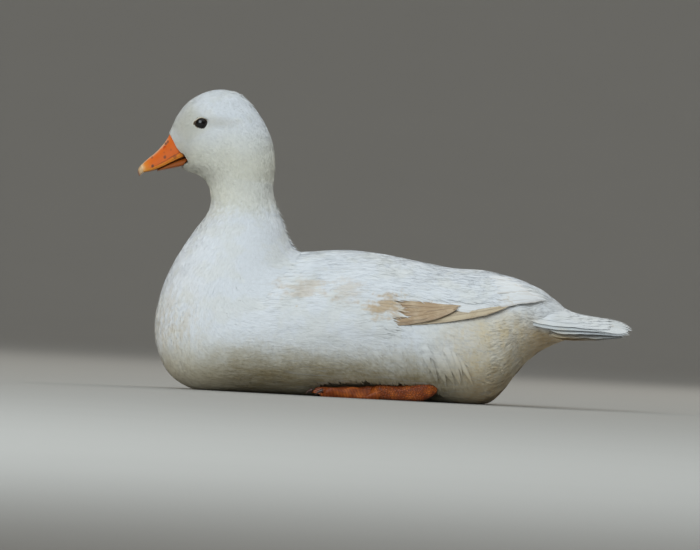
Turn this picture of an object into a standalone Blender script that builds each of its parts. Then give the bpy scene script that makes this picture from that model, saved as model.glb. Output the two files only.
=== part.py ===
"""White call duck at rest, life size, as a still display model.

The duck sits on its belly with folded wings and raised neck. It faces -Y, its left side is +X and the floor is
z = 0. Sizes are in millimetres and are turned into metres where the meshes are made.

Trunk, neck and head share one form: a row of stations runs from the tail root to the face. Each station is a flat
section from a dorsal to a ventral point of the midplane, with its half width, so the two rows of points are the
duck's outline from the side.
"""

import math

import bmesh
import bpy
from mathutils import Matrix, Vector

MM = 0.001

# Driving dimensions, in millimetres.
GAP = 0.35            # clear space left between two touching pieces
WING_BED = 6.0        # how deep the trunk is sunk under the middle of a folded wing
WING_LIFT = 1.5       # how far a wing's edges stand proud of the trunk beside them
BED_GAP = 0.9         # clear space between the trunk and the underside of a wing
EYE_RADIUS = 5.6
EYE_SUNK = 4.1        # from the head's surface in to the eyeball's centre
EYE_AT = (-144.8, 201.3)

# name, dorsal (y, z), ventral (y, z), half width, level of the widest point from the top, fullness above, below
STATIONS = (
    ("tail root", (139.5, 74.0), (151.0, 58.0), 14.0, 0.50, 2.0, 2.0),
    ("tail coverts", (129.5, 81.8), (135.0, 51.2), 24.0, 0.50, 2.0, 2.0),
    ("rump end", (118.0, 88.0), (119.0, 42.3), 34.0, 0.50, 2.0, 2.0),
    ("rump", (106.0, 92.9), (103.6, 26.8), 44.5, 0.48, 2.0, 2.0),
    ("vent", (92.0, 96.6), (90.0, 7.4), 53.0, 0.48, 2.0, 2.1),
    ("hind belly", (75.0, 99.5), (74.0, -1.4), 59.5, 0.50, 2.0, 2.2),
    ("saddle", (48.0, 100.6), (46.0, -1.5), 64.5, 0.52, 2.0, 2.3),
    ("hind back", (20.0, 104.6), (13.0, -1.5), 67.0, 0.53, 2.0, 2.35),
    ("mid back", (-10.0, 108.9), (-22.0, -1.5), 68.0, 0.54, 2.0, 2.35),
    ("fore back", (-35.0, 109.3), (-60.0, -1.5), 67.0, 0.55, 2.0, 2.35),
    ("shoulder", (-53.0, 107.9), (-98.0, -1.5), 64.5, 0.56, 2.0, 2.3),
    ("mantle", (-64.0, 108.0), (-132.0, -1.5), 61.0, 0.58, 2.0, 2.2),
    ("low breast", (-69.5, 110.8), (-155.5, 8.5), 57.5, 0.58, 2.0, 2.1),
    ("breast", (-72.2, 115.0), (-168.0, 28.0), 53.5, 0.57, 2.0, 2.0),
    ("full breast", (-75.0, 120.0), (-171.2, 50.0), 48.5, 0.55, 2.0, 2.0),
    ("high breast", (-77.6, 126.5), (-167.0, 75.0), 42.0, 0.53, 2.0, 2.0),
    ("crop", (-80.4, 133.0), (-157.0, 99.5), 35.0, 0.52, 2.0, 2.0),
    ("neck root", (-83.6, 140.0), (-145.0, 119.5), 28.5, 0.51, 2.0, 2.0),
    ("low neck", (-86.2, 147.0), (-136.3, 132.5), 24.3, 0.50, 2.0, 2.0),
    ("mid neck", (-87.3, 154.0), (-133.8, 141.5), 22.4, 0.50, 2.0, 2.0),
    ("high neck", (-87.2, 162.0), (-134.3, 148.5), 22.2, 0.50, 2.0, 2.0),
    ("throat", (-86.8, 171.0), (-136.2, 154.3), 23.2, 0.50, 2.0, 2.0),
    ("nape", (-88.0, 182.5), (-139.8, 158.8), 24.8, 0.50, 2.0, 2.0),
    ("hind head", (-91.8, 195.0), (-143.5, 161.5), 25.8, 0.50, 2.0, 2.1),
    ("hind crown", (-100.0, 209.0), (-146.6, 162.8), 26.0, 0.52, 2.0, 2.1),
    ("crown", (-112.5, 222.3), (-149.3, 163.5), 25.2, 0.54, 2.0, 2.1),
    ("fore crown", (-127.0, 227.3), (-151.6, 164.2), 23.8, 0.56, 2.1, 2.1),
    ("brow", (-142.0, 224.8), (-153.7, 164.9), 21.4, 0.58, 2.1, 1.95),
    ("forehead", (-154.5, 217.0), (-155.5, 165.6), 18.2, 0.59, 2.1, 1.8),
    ("lores", (-162.0, 207.0), (-157.2, 166.3), 14.4, 0.60, 2.1, 1.7),
    ("face", (-166.7, 196.3), (-158.6, 166.8), 11.4, 0.62, 2.0, 1.7),
    ("bill root", (-169.6, 188.5), (-160.2, 167.4), 9.6, 0.64, 2.0, 1.8),
)
NAMES = [row[0] for row in STATIONS]

# Borders on the folded wing, one number for each station from the tail root to the low breast, in degrees down from
# the midline of the back.
BACK_LINE = (12.0, 11.0, 8.0, 6.5, 5.0, 1.4, 1.2, 1.1, 1.1, 1.1, 1.2, 1.2, 1.4)
SCAPULAR_LINE = (40.0, 47.0, 54.0, 57.0, 59.0, 60.0, 59.0, 56.0, 52.0, 47.0, 42.0, 36.0, 30.0)
COVERT_LINE = (44.0, 51.0, 57.0, 60.5, 63.2, 66.5, 71.5, 79.0, 86.0, 88.0, 82.0, 66.0, 50.0)
WING_EDGE = (47.0, 54.0, 60.0, 63.5, 66.7, 71.0, 77.5, 85.5, 90.0, 91.0, 85.0, 69.0, 53.0)
BED_EDGE = (24.0, 44.0, 55.0, 60.0, 67.0, 71.5, 78.5, 86.5, 91.0, 92.0, 86.0, 70.0, 50.0)

# Feather groups of one folded wing: front and rear place along the stations, each with how much that end is rounded,
# then the upper and lower border, and how far the rear and lower borders stand out from the trunk's form.
WING_GROUPS = {
    "scapulars": ((11.1, 0.0), (5.3, 0.8), BACK_LINE, SCAPULAR_LINE, 2.0),
    "coverts": ((11.0, 0.0), (7.0, 0.0), SCAPULAR_LINE, COVERT_LINE, 1.7),
    "tertials": ((5.26, 0.8), (1.35, 0.5), BACK_LINE, SCAPULAR_LINE, 1.9),
    "secondaries": ((6.96, 0.0), (4.35, 0.0), SCAPULAR_LINE, COVERT_LINE, 1.7),
    "primaries": ((6.96, 0.0), (3.95, 0.0), COVERT_LINE, WING_EDGE, 1.5),
}
BORDER_SPACE = 0.27   # degrees kept clear on each side of a border

# Bill, side view: ridge (y, z), cutting edge (y, z), half width, for the upper and the lower half.
UPPER_BILL = (
    ((-166.4, 189.9), (-155.0, 174.9), 9.3),
    ((-170.8, 185.6), (-160.0, 172.5), 9.2),
    ((-174.6, 180.6), (-165.6, 169.6), 9.4),
    ((-178.6, 176.2), (-171.3, 166.5), 9.8),
    ((-182.4, 172.9), (-177.2, 163.9), 10.0),
    ((-186.2, 169.1), (-182.4, 162.4), 9.3),
    ((-188.2, 167.0), (-185.5, 161.7), 7.9),
)
BILL_NAIL = (
    ((-188.5, 166.7), (-185.9, 161.3), 7.7),
    ((-189.8, 165.0), (-187.4, 160.2), 6.2),
    ((-190.3, 163.2), (-188.3, 159.4), 4.2),
    ((-190.2, 161.6), (-188.6, 159.0), 1.9),
)
LOWER_BILL = (
    ((-154.0, 173.6), (-157.6, 168.2), 8.7),
    ((-160.0, 171.2), (-163.0, 166.6), 8.8),
    ((-166.5, 168.1), (-168.6, 165.2), 8.9),
    ((-171.6, 165.6), (-172.3, 164.3), 8.4),
    ((-174.9, 164.0), (-175.1, 163.3), 6.8),
)
MOUTH_NOTCH = (
    (-185.0, 214.0), (-166.0, 190.4), (-154.1, 174.7), (-153.4, 173.5), (-157.1, 167.5), (-185.0, 150.0),
)

# Tail: half widths and heights in millimetres.
TAIL_TIP_Y = 190.0
TAIL_HALF_WIDTH = 33.0
TAIL_ARCH = 12.5
TAIL_FEATHERS = 14

# Legs, for the duck's left side. The shank's rows run from the toes to the heel: radius, lowest and highest level.
TOE_JOINT = (45.5, 1.0)
TOE_TIPS = ((38.5, -40.0), (45.5, -51.0), (52.5, -43.5))
TOE_HEIGHT = 9.2
TOE_HALF_WIDTH = 2.6
JOINT_HALF_WIDTH = 5.2
WEB_HEIGHT = 3.0
WEB_BAY = 0.12
HEEL = (47.5, 43.5)
LEG_BED_INNER = 34.5
LEG_BED = (
    (-57.0, -9.0), (-57.0, 6.0), (-51.0, 12.5), (-38.0, 15.0), (-20.0, 16.6), (5.0, 16.8), (25.0, 17.2), (39.0, 19.0),
    (47.0, 18.0), (50.5, 11.0), (50.5, -9.0),
)
SHANK = (
    (5.2, -1.2, 11.0), (4.8, -1.0, 11.2), (4.5, -0.8, 11.2), (4.4, -0.6, 11.2), (4.5, -0.5, 11.6), (4.9, -0.4, 12.6),
    (5.5, -0.2, 13.8), (5.9, 0.6, 15.4), (5.6, 2.2, 16.2), (3.6, 5.0, 15.0),
)

WHITE = (0.86, 0.85, 0.80)
CREAM = (0.80, 0.70, 0.54)
BILL_ORANGE = (0.80, 0.29, 0.07)
LEG_ORANGE = (0.70, 0.20, 0.06)
NAIL_HORN = (0.62, 0.36, 0.20)
EYE_BROWN = (0.02, 0.012, 0.008)


def material(name, colour, roughness):
    """A plain Principled material."""
    made = bpy.data.materials.get(name) or bpy.data.materials.new(name)
    made.use_nodes = True
    shader = made.node_tree.nodes["Principled BSDF"]
    shader.inputs["Base Color"].default_value = (*colour, 1.0)
    shader.inputs["Roughness"].default_value = roughness
    shader.inputs["Metallic"].default_value = 0.0
    return made


def finish(name, bm, made_of):
    """Turns a bmesh in millimetres into a named object in metres."""
    bmesh.ops.remove_doubles(bm, verts=bm.verts[:], dist=0.001)
    bmesh.ops.recalc_face_normals(bm, faces=bm.faces[:])
    bmesh.ops.scale(bm, vec=(MM, MM, MM), verts=bm.verts[:])
    mesh = bpy.data.meshes.new(name)
    bm.to_mesh(mesh)
    bm.free()
    mesh.shade_smooth()
    mesh.set_sharp_from_angle(angle=math.radians(50))
    mesh.materials.append(made_of)
    obj = bpy.data.objects.new(name, mesh)
    bpy.context.scene.collection.objects.link(obj)
    return obj


def eased(share):
    """0 to 1 with level ends."""
    share = min(1.0, max(0.0, share))
    return share * share * (3.0 - 2.0 * share)


def through(values, at):
    """Catmull-Rom curve through values, where at is a place along the row, counted in values."""
    last = len(values) - 1
    k = min(last - 1, max(0, int(at)))
    f = at - k
    a, b, c, d = (values[min(last, max(0, k + i))] for i in (-1, 0, 1, 2))
    return 0.5 * (2 * b + (c - a) * f + (2 * a - 5 * b + 4 * c - d) * f * f + (3 * b - a - 3 * c + d) * f ** 3)


def station(t):
    """Dorsal point, ventral point and section numbers at place t along the stations."""
    dorsal = Vector((0.0, through([r[1][0] for r in STATIONS], t), through([r[1][1] for r in STATIONS], t)))
    ventral = Vector((0.0, through([r[2][0] for r in STATIONS], t), through([r[2][1] for r in STATIONS], t)))
    return dorsal, ventral, *(through([r[i] for r in STATIONS], t) for i in (3, 4, 5, 6))


def section_point(dorsal, ventral, half_width, level, above, below, theta):
    """The point of a section theta radians round from its dorsal point towards +X."""
    c, s = math.cos(theta), math.sin(theta)
    power = 2.0 / (above if c > 0 else below)
    along = abs(c) ** power
    down = level - level * along if c > 0 else level + (1.0 - level) * along
    side = math.copysign(abs(s) ** power, s)
    return dorsal.lerp(ventral, down) + Vector((half_width * side, 0.0, 0.0))


def outline(t, theta):
    """The duck's outer form, with the plumage."""
    return section_point(*station(t), theta)


def outward(t, theta):
    """The outer form's normal."""
    step = 0.02
    along = outline(t + step, theta) - outline(t - step, theta)
    around = outline(t, theta + step) - outline(t, theta - step)
    return along.cross(around).normalized()


def bed(t, theta):
    """How deep the trunk lies under the outer form, to make room for the folded wing."""
    degrees = abs(math.degrees(math.remainder(theta, 2.0 * math.pi)))
    inside = through(BED_EDGE, min(t, 12.0)) - degrees
    ends = eased((NAMES.index("low breast") - 0.2 - t) / 1.6) * eased((t - NAMES.index("tail coverts")) / 1.6)
    return WING_BED * eased((inside + 12.0) / 36.0) * ends


def trunk_surface(t, theta):
    """The trunk's own surface, sunk where a wing covers it."""
    depth = bed(t, theta)
    place = outline(t, theta)
    return place - outward(t, theta) * depth if depth > 0 else place


def ring(bm, points):
    """A closed loop of edges through points, from a circle whose corners are moved to them."""
    corners = bmesh.ops.create_circle(bm, cap_ends=False, radius=1.0, segments=len(points))["verts"]
    for corner, point in zip(corners, points):
        corner.co = point
    return list({edge for corner in corners for edge in corner.link_edges})


def loft(bm, loops):
    """Skins rings of points one after another and closes both ends."""
    rings = [ring(bm, points) for points in loops]
    for first, second in zip(rings, rings[1:]):
        bmesh.ops.bridge_loops(bm, edges=first + second)
    for end in (rings[0], rings[-1]):
        bmesh.ops.contextual_create(bm, geom=end)


def body_rings(surface, start, end, per_station, corners):
    """Rings of a surface from place start to place end."""
    count = max(2, round((end - start) * per_station)) + 1
    angles = [2.0 * math.pi * k / corners for k in range(corners)]
    return [
        [surface(start + (end - start) * i / (count - 1), angle) for angle in angles]
        for i in range(count)
    ]


def shifted_end(loops, last, towards):
    """Moves the first or last ring by the gap between pieces, towards a neighbouring ring."""
    edge, neighbour = (-1, -2) if last else (0, 1)
    middle = sum((Vector(p) for p in loops[edge]), Vector()) / len(loops[edge])
    inner = sum((Vector(p) for p in loops[neighbour]), Vector()) / len(loops[neighbour])
    step = (inner - middle).normalized() * towards
    loops[edge] = [Vector(p) + step for p in loops[edge]]
    return loops


def cut_level(bm, height):
    """Cuts away all below a level and closes the flat."""
    cut = bmesh.ops.bisect_plane(
        bm, geom=bm.verts[:] + bm.edges[:] + bm.faces[:], plane_co=(0, 0, height), plane_no=(0, 0, 1),
        clear_inner=True, dist=0.0005,
    )
    edges = [item for item in cut["geom_cut"] if isinstance(item, bmesh.types.BMEdge)]
    bmesh.ops.holes_fill(bm, edges=edges)


def slab(bm, outer, inner, across, along):
    """A closed sheet between two surfaces, each a function of (u, v) from 0 to 1."""
    made = []
    for surface in (outer, inner):
        grid = bmesh.ops.create_grid(bm, x_segments=along, y_segments=across, size=0.5)
        for corner in grid["verts"]:
            corner.co = surface(corner.co.x + 0.5, corner.co.y + 0.5)
        made.append({face for corner in grid["verts"] for face in corner.link_faces})
    bmesh.ops.reverse_faces(bm, faces=list(made[1]))
    rims = [[e for e in {e for f in faces for e in f.edges} if e.is_boundary] for faces in made]
    bmesh.ops.bridge_loops(bm, edges=rims[0] + rims[1])


def prism(name, corners, start, end, made_of):
    """A straight-sided cutter: a side view outline, in millimetres, drawn out along X."""
    bm = bmesh.new()
    face = bm.faces.new([bm.verts.new((start, y, z)) for y, z in corners])
    drawn = bmesh.ops.extrude_face_region(bm, geom=[face])["geom"]
    moved = [item for item in drawn if isinstance(item, bmesh.types.BMVert)]
    bmesh.ops.translate(bm, vec=(end - start, 0.0, 0.0), verts=moved)
    return finish(name, bm, made_of)


def cut_away(obj, cutters):
    """Cuts each hidden cutter from an object."""
    for cutter in cutters:
        cutter.hide_render = True
        cutter.display_type = "WIRE"
        cut = obj.modifiers.new(cutter.name, "BOOLEAN")
        cut.operation = "DIFFERENCE"
        cut.solver = "EXACT"
        cut.object = cutter


def make_trunk(plumage):
    """Breast, belly, back and rump, with beds for the wings and legs and a flat where it rests."""
    bm = bmesh.new()
    start, end = 0.0, float(NAMES.index("neck root"))
    loft(bm, body_rings(trunk_surface, start, end, 2, 32))
    cut_level(bm, 0.0)
    trunk = finish("trunk", bm, plumage)
    cut_away(trunk, [
        prism("leg_cutter_left", LEG_BED, LEG_BED_INNER, 90.0, plumage),
        prism("leg_cutter_right", LEG_BED, -90.0, -LEG_BED_INNER, plumage),
    ])
    return trunk


def make_neck(plumage):
    """The neck, from the crop to the throat."""
    bm = bmesh.new()
    loops = body_rings(outline, NAMES.index("neck root"), NAMES.index("nape"), 2, 24)
    loft(bm, shifted_end(loops, False, GAP))
    return finish("neck", bm, plumage)


def eye_centre(side):
    """The middle of an eyeball."""
    y, z = EYE_AT
    best = min(
        (outline(t / 20.0, a / 40.0) for t in range(480, 600) for a in range(20, 90)),
        key=lambda p: (p.y - y) ** 2 + (p.z - z) ** 2,
    )
    return Vector((side * (best.x - EYE_SUNK), y, z))


def make_head(plumage):
    """The feathered head, with sockets for the eyes and a notch for the bill."""
    bm = bmesh.new()
    loops = body_rings(outline, NAMES.index("nape"), NAMES.index("bill root"), 2, 28)
    loft(bm, shifted_end(loops, False, GAP))
    head = finish("head", bm, plumage)
    cutters = [prism("notch_cutter", MOUTH_NOTCH, -30.0, 30.0, plumage)]
    for name, way in (("left", 1), ("right", -1)):
        ball = bmesh.new()
        bmesh.ops.create_uvsphere(ball, u_segments=20, v_segments=10, radius=EYE_RADIUS + GAP)
        bmesh.ops.translate(ball, vec=eye_centre(way), verts=ball.verts[:])
        cutters.append(finish(f"socket_cutter_{name}", ball, plumage))
    cut_away(head, cutters)
    return head


def make_eyes(glossy):
    """Both eyeballs."""
    for name, way in (("left", 1), ("right", -1)):
        bm = bmesh.new()
        bmesh.ops.create_uvsphere(bm, u_segments=20, v_segments=10, radius=EYE_RADIUS)
        bmesh.ops.translate(bm, vec=eye_centre(way), verts=bm.verts[:])
        finish(f"eye_{name}", bm, glossy)


def bill_ring(ridge, edge, half_width, ridge_power, corners=20):
    """One section of a bill half: a vault over a flat side, from its ridge to its cutting edge."""
    top, bottom = Vector((0.0, *ridge)), Vector((0.0, *edge))
    points = []
    for k in range(corners):
        theta = 2.0 * math.pi * k / corners
        c, s = math.cos(theta), math.sin(theta)
        level = 0.82
        power = 2.0 / (ridge_power if c > 0 else 3.4)
        along = abs(c) ** power
        down = level - level * along if c > 0 else level + (1.0 - level) * along
        points.append(top.lerp(bottom, down) + Vector((half_width * math.copysign(abs(s) ** power, s), 0.0, 0.0)))
    return points


def make_bill(horn, nail_horn):
    """Upper and lower bill, and the nail at the tip."""
    upper = bmesh.new()
    count = len(UPPER_BILL)
    powers = [1.7 + 0.5 * k / (count - 1) for k in range(count)]
    loft(upper, [bill_ring(*row, power) for row, power in zip(UPPER_BILL, powers)])
    finish("bill_upper", upper, horn)
    nail = bmesh.new()
    loft(nail, [bill_ring(*row, 2.3, 16) for row in BILL_NAIL])
    finish("bill_nail", nail, nail_horn)
    lower = bmesh.new()
    loft(lower, [bill_ring(under, top, half_width, 2.4) for top, under, half_width in LOWER_BILL])
    finish("bill_lower", lower, horn)


def make_wing_group(group, side, made_of):
    """One group of feathers of a folded wing, as a sheet on its bed that is thin at its borders."""
    front, rear, upper, lower, stand = WING_GROUPS[group]

    def placed(u, v):
        first, last = (place + rounding * (2.0 * v - 1.0) ** 2 for place, rounding in (front, rear))
        t = first + (last - first) * u
        start, end = through(upper, t) + BORDER_SPACE, through(lower, t) - BORDER_SPACE
        return t, math.radians(start + (end - start) * v)

    def raised(u, v, height):
        t, theta = placed(u, v)
        point = outline(t, theta) + outward(t, theta) * height(t, theta)
        return Vector((side * point.x, point.y, point.z))

    def outer(u, v):
        proud = WING_LIFT + (stand - WING_LIFT) * eased(u / 0.2) * eased(v / 0.5)
        return raised(u, v, lambda t, theta: proud)

    def inner(u, v):
        return raised(u, v, lambda t, theta: BED_GAP - bed(t, theta))

    bm = bmesh.new()
    slab(bm, outer, inner, 4, 9)
    return finish(f"{group}_{'left' if side > 0 else 'right'}", bm, made_of)


def make_tail(plumage):
    """The tail: a full root with the coverts, and behind it an arched fan of feathers with stepped tips."""
    dorsal, ventral, half_width, *_ = station(0.0)

    def fan_top(y):
        run = max(0.0, (y - dorsal.y) / (TAIL_TIP_Y - dorsal.y))
        return dorsal.z - 3.6 * (1.0 - math.exp(-6.0 * run)) - 2.0 * run - 5.5 * run ** 8

    def tip_y(across):
        feather = abs(across) * TAIL_FEATHERS / 2.0
        notch = 1.8 * abs(math.cos(math.pi * feather)) ** 6
        return TAIL_TIP_Y - 9.0 * abs(across) ** 2.2 - notch * (0 if abs(across) < 0.05 else 1)

    def sheet(u, v, top):
        across = 2.0 * v - 1.0
        round_part = math.sqrt(max(0.0, 1.0 - across * across))
        middle = dorsal.lerp(ventral, 0.5)
        half = (ventral - dorsal) * 0.5
        root = middle + half * (-round_part if top else round_part) + Vector((half_width * across, 0.0, 0.0))
        root += Vector((0.0, 0.81, 0.58)) * GAP
        if abs(across) > 0.999:
            root += (-half if top else half).normalized() * 0.4
        y = root.y + (tip_y(across) - root.y) * u
        spread = half_width + (TAIL_HALF_WIDTH - half_width) * eased(u * 1.15)
        arch = TAIL_ARCH * (1.0 - 0.3 * u) * across * across
        thin = 0.9 + 0.5 * (1.0 - u)
        coverts = 13.5 * round_part * (1.0 - eased(u / 0.5)) ** 1.2
        z = fan_top(y) - arch - (0.0 if top else thin + coverts)
        fan = Vector((spread * across, y, z))
        return root.lerp(fan, eased(u / 0.22))

    bm = bmesh.new()
    slab(bm, lambda u, v: sheet(u, v, True), lambda u, v: sheet(u, v, False), 2 * TAIL_FEATHERS, 6)
    return finish("tail", bm, plumage)


def make_shank(side, skin):
    """The lower leg, which lies on the floor from the heel to the toes."""
    bm = bmesh.new()
    joint, heel = Vector((*TOE_JOINT, 0.0)), Vector((*HEEL, 0.0))
    joint.y += GAP
    loops = []
    for k, (radius, low, high) in enumerate(SHANK):
        run = k / (len(SHANK) - 1)
        middle = joint.lerp(heel, run)
        middle.z = 0.5 * (low + high)
        loops.append([
            Vector((side * (middle.x + radius * math.sin(a)), middle.y, middle.z + 0.5 * (high - low) * math.cos(a)))
            for a in (2.0 * math.pi * i / 12 for i in range(12))
        ])
    loft(bm, loops)
    cut_level(bm, 0.0)
    return finish(f"shank_{'left' if side > 0 else 'right'}", bm, skin)


def make_foot(side, skin):
    """Three webbed toes, half drawn together, that lie forward on the floor with a flat sole."""
    joint = Vector((*TOE_JOINT, 0.0))
    toes = [Vector((*tip, 0.0)) for tip in TOE_TIPS]

    def reach(v):
        """The foot's front border: the toes stand out from the web between them."""
        k = min(1, int(2.0 * v))
        f = 2.0 * v - k
        return joint.lerp(toes[k].lerp(toes[k + 1], f), 1.0 - WEB_BAY * math.sin(math.pi * f))

    def top(u, v):
        root = joint + Vector(((v - 0.5) * 2.0 * JOINT_HALF_WIDTH, 0.0, 0.0))
        place = root.lerp(reach(v), u)
        axis = joint.lerp(toes[round(2.0 * v)], u)
        ridge = math.exp(-((place.x - axis.x) / TOE_HALF_WIDTH) ** 2)
        toe = TOE_HEIGHT * (1.0 - 0.35 * u) * ridge
        web = WEB_HEIGHT * (1.0 - 0.45 * u)
        root_height = SHANK[0][2] * (1.0 - eased(u / 0.35)) * math.cos((v - 0.5) * 2.2)
        height = max(web, toe, root_height) * (1.0 - 0.7 * eased((u - 0.85) / 0.15))
        return Vector((side * place.x, place.y, height))

    def sole(u, v):
        place = top(u, v)
        return Vector((place.x, place.y, 0.0))

    bm = bmesh.new()
    slab(bm, top, sole, 16, 9)
    return finish(f"foot_{'left' if side > 0 else 'right'}", bm, skin)


def main():
    """Builds the whole duck."""
    for obj in list(bpy.data.objects):
        bpy.data.objects.remove(obj)
    plumage = material("white_plumage", WHITE, 0.8)
    cream = material("cream_plumage", CREAM, 0.75)
    horn = material("orange_bill", BILL_ORANGE, 0.4)
    nail_horn = material("nail", NAIL_HORN, 0.4)
    skin = material("orange_leg_skin", LEG_ORANGE, 0.55)
    glossy = material("eye", EYE_BROWN, 0.05)
    make_trunk(plumage)
    make_neck(plumage)
    make_head(plumage)
    make_eyes(glossy)
    make_bill(horn, nail_horn)
    make_tail(plumage)
    for side in (1, -1):
        for group in WING_GROUPS:
            pale = group in ("secondaries", "primaries")
            make_wing_group(group, side, cream if pale else plumage)
        make_shank(side, skin)
        make_foot(side, skin)


main()
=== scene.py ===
"""A white call duck hen at rest, life size, as a still museum model on a pale studio floor.

The duck sits on its belly with folded wings. It faces -Y, its left side is +X, and the floor is z = 0.
Shapes are worked out in millimetres and stored in metres. A skin follows the body's form inside the
feathers, and the coat is made of tufts and vanes that lie along it.
"""

import logging
import math
from collections.abc import Callable, Sequence
from dataclasses import dataclass
from enum import Enum
from functools import partial

import bmesh
import bpy
import numpy as np
from mathutils import Matrix, Vector


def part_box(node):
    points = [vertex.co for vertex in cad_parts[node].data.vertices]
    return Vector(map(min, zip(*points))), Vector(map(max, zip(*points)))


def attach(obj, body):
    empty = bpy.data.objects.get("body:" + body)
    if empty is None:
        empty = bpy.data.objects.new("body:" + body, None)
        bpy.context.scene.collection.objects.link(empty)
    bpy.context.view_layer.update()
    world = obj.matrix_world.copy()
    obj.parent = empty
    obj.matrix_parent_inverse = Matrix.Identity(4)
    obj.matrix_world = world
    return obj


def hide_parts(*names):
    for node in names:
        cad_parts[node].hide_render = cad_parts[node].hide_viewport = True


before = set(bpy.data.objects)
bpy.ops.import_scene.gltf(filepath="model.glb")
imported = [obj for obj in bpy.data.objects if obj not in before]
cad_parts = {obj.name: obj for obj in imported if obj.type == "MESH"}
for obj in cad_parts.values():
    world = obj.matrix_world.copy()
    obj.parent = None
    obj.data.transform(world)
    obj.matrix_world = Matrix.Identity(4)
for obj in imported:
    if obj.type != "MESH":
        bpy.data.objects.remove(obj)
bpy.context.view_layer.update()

logging.basicConfig(level=logging.INFO, format="%(message)s")
LOG = logging.getLogger("duck")

MM = 0.001
TURN = 2.0 * math.pi
WING_SEED, FLANK_SEED, TAIL_SEED = 30, 50, 71
BODY = "root"
Array = np.ndarray
Pair = tuple[float, float]
Triple = tuple[float, float, float]
Line = tuple[float, ...]
Colour = Triple
Material, Mesh, Piece = bpy.types.Material, bpy.types.Mesh, bpy.types.Object
WHITE: Colour = (1.0, 1.0, 1.0)
EYE_SHIFT: Triple = (0.0, 0.8, -0.8)


class Side(Enum):
    """One side of the duck, with the sign of its X."""

    LEFT = 1
    RIGHT = -1

    @property
    def word(self) -> str:
        """The side's name in lower case."""
        return self.name.lower()


class Shader(Enum):
    """Shader sockets that a pattern may feed."""

    COLOUR = "Base Color"
    ROUGHNESS = "Roughness"
    NORMAL = "Normal"


# ---- small maths


def eased(share: Array | float) -> Array | float:
    """Smooth step from 0 to 1 with level ends."""
    share = np.clip(share, 0.0, 1.0)
    return share * share * (3.0 - 2.0 * share)


def between(low: float, high: float, value: Array | float) -> Array | float:
    """How far value has gone from low to high, eased; low may be the larger."""
    return eased((value - low) / (high - low))


def catmull(rows: Array, at: Array) -> Array:
    """Catmull-Rom curve through rows.

    Args:
        rows: Values, one row for each knot.
        at: Places along the rows, counted in knots.

    Returns:
        The curve's values, one row for each place.
    """
    last = len(rows) - 1
    k = np.clip(np.floor(at).astype(int), 0, last - 1)
    f = (at - k)[..., None]
    a, b, c, d = (rows[np.clip(k + i, 0, last)] for i in (-1, 0, 1, 2))
    return 0.5 * (2 * b + (c - a) * f + (2 * a - 5 * b + 4 * c - d) * f**2 + (3 * b - a - 3 * c + d) * f**3)


def unit(vectors: Array) -> Array:
    """The vectors at length 1."""
    return vectors / np.maximum(np.linalg.norm(vectors, axis=-1, keepdims=True), 1e-9)


def degrees_down(angle: Array) -> Array:
    """Angles as degrees down from the midline of the back, on either side."""
    return np.degrees(np.abs(np.mod(angle + math.pi, TURN) - math.pi))


def drift(points: Array, size: float, phase: float) -> Array:
    """A soft uneven wave from -1 to 1 over points, with waves about size millimetres long.

    Args:
        points: Where to read it.
        size: Rough length of the waves.
        phase: Shifts them.

    Returns:
        Its value at each point.
    """
    x, y, z = (points[..., axis] * TURN / size for axis in range(3))
    waves = np.sin(0.9 * x + 0.5 * y + phase) + np.sin(0.8 * z - 0.6 * x + 2.1 * phase)
    waves += np.sin(0.7 * y + 0.9 * z + 1.3 * np.sin(0.4 * x - 0.5 * y) + 3.7 * phase)
    waves += np.sin(1.3 * z - 0.9 * y + 0.7 * np.sin(0.6 * z + phase))
    return waves / 3.0


def ring(row: Array, level: Array | float, above: Array, below: Array | float, angle: Array) -> Array:
    """Points round flat sections of the body or the bill.

    Args:
        row: The sections: dorsal y, z; ventral y, z; half width.
        level: Where each is widest, from 0 at the dorsal point to 1 at the ventral.
        above: Its fullness above that level.
        below: Its fullness below it.
        angle: Radians round from the dorsal point.

    Returns:
        The points.
    """
    c, s = np.cos(angle), np.sin(angle)
    power = 2.0 / np.where(c > 0, above, below)
    reach = np.abs(c) ** power
    down = np.where(c > 0, level - level * reach, level + (1.0 - level) * reach)
    side = row[..., 4] * np.sign(s) * np.abs(s) ** power
    return np.stack([side, *(row[..., k] + (row[..., k + 2] - row[..., k]) * down for k in (0, 1))], axis=-1)


# ---- material graphs


def math_node(operation: str, swapped: bool = False) -> Callable[..., "Value"]:
    """A method that adds a Math node on a value and what it is given.

    Args:
        operation: What the node does.
        swapped: Whether the value comes last.

    Returns:
        The method.
    """

    def method(self: "Value", *others: "Value | float") -> "Value":
        """Adds the node."""
        values = (*others, self) if swapped else (self, *others)
        return self.graph.node("ShaderNodeMath", {"operation": operation}, *values)

    return method


class Value:
    """A number, vector or colour socket of a material, with arithmetic."""

    __add__ = __radd__ = math_node("ADD")
    __sub__ = math_node("SUBTRACT")
    __rsub__ = math_node("SUBTRACT", swapped=True)
    __mul__ = __rmul__ = math_node("MULTIPLY")
    __truediv__ = math_node("DIVIDE")
    __pow__ = math_node("POWER")
    abs = math_node("ABSOLUTE")
    sine = math_node("SINE")
    most = math_node("MAXIMUM")

    def __init__(self, graph: "Graph", socket: bpy.types.NodeSocket) -> None:
        """Wraps an output socket of a graph."""
        self.graph = graph
        self.socket = socket

    def span(self, low: float, high: float) -> "Value":
        """0 to 1, eased, as this value goes from low to high."""
        settings = {"interpolation_type": "SMOOTHSTEP", "clamp": True}
        return self.graph.node("ShaderNodeMapRange", settings, self, low, high, 0.0, 1.0)


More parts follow.
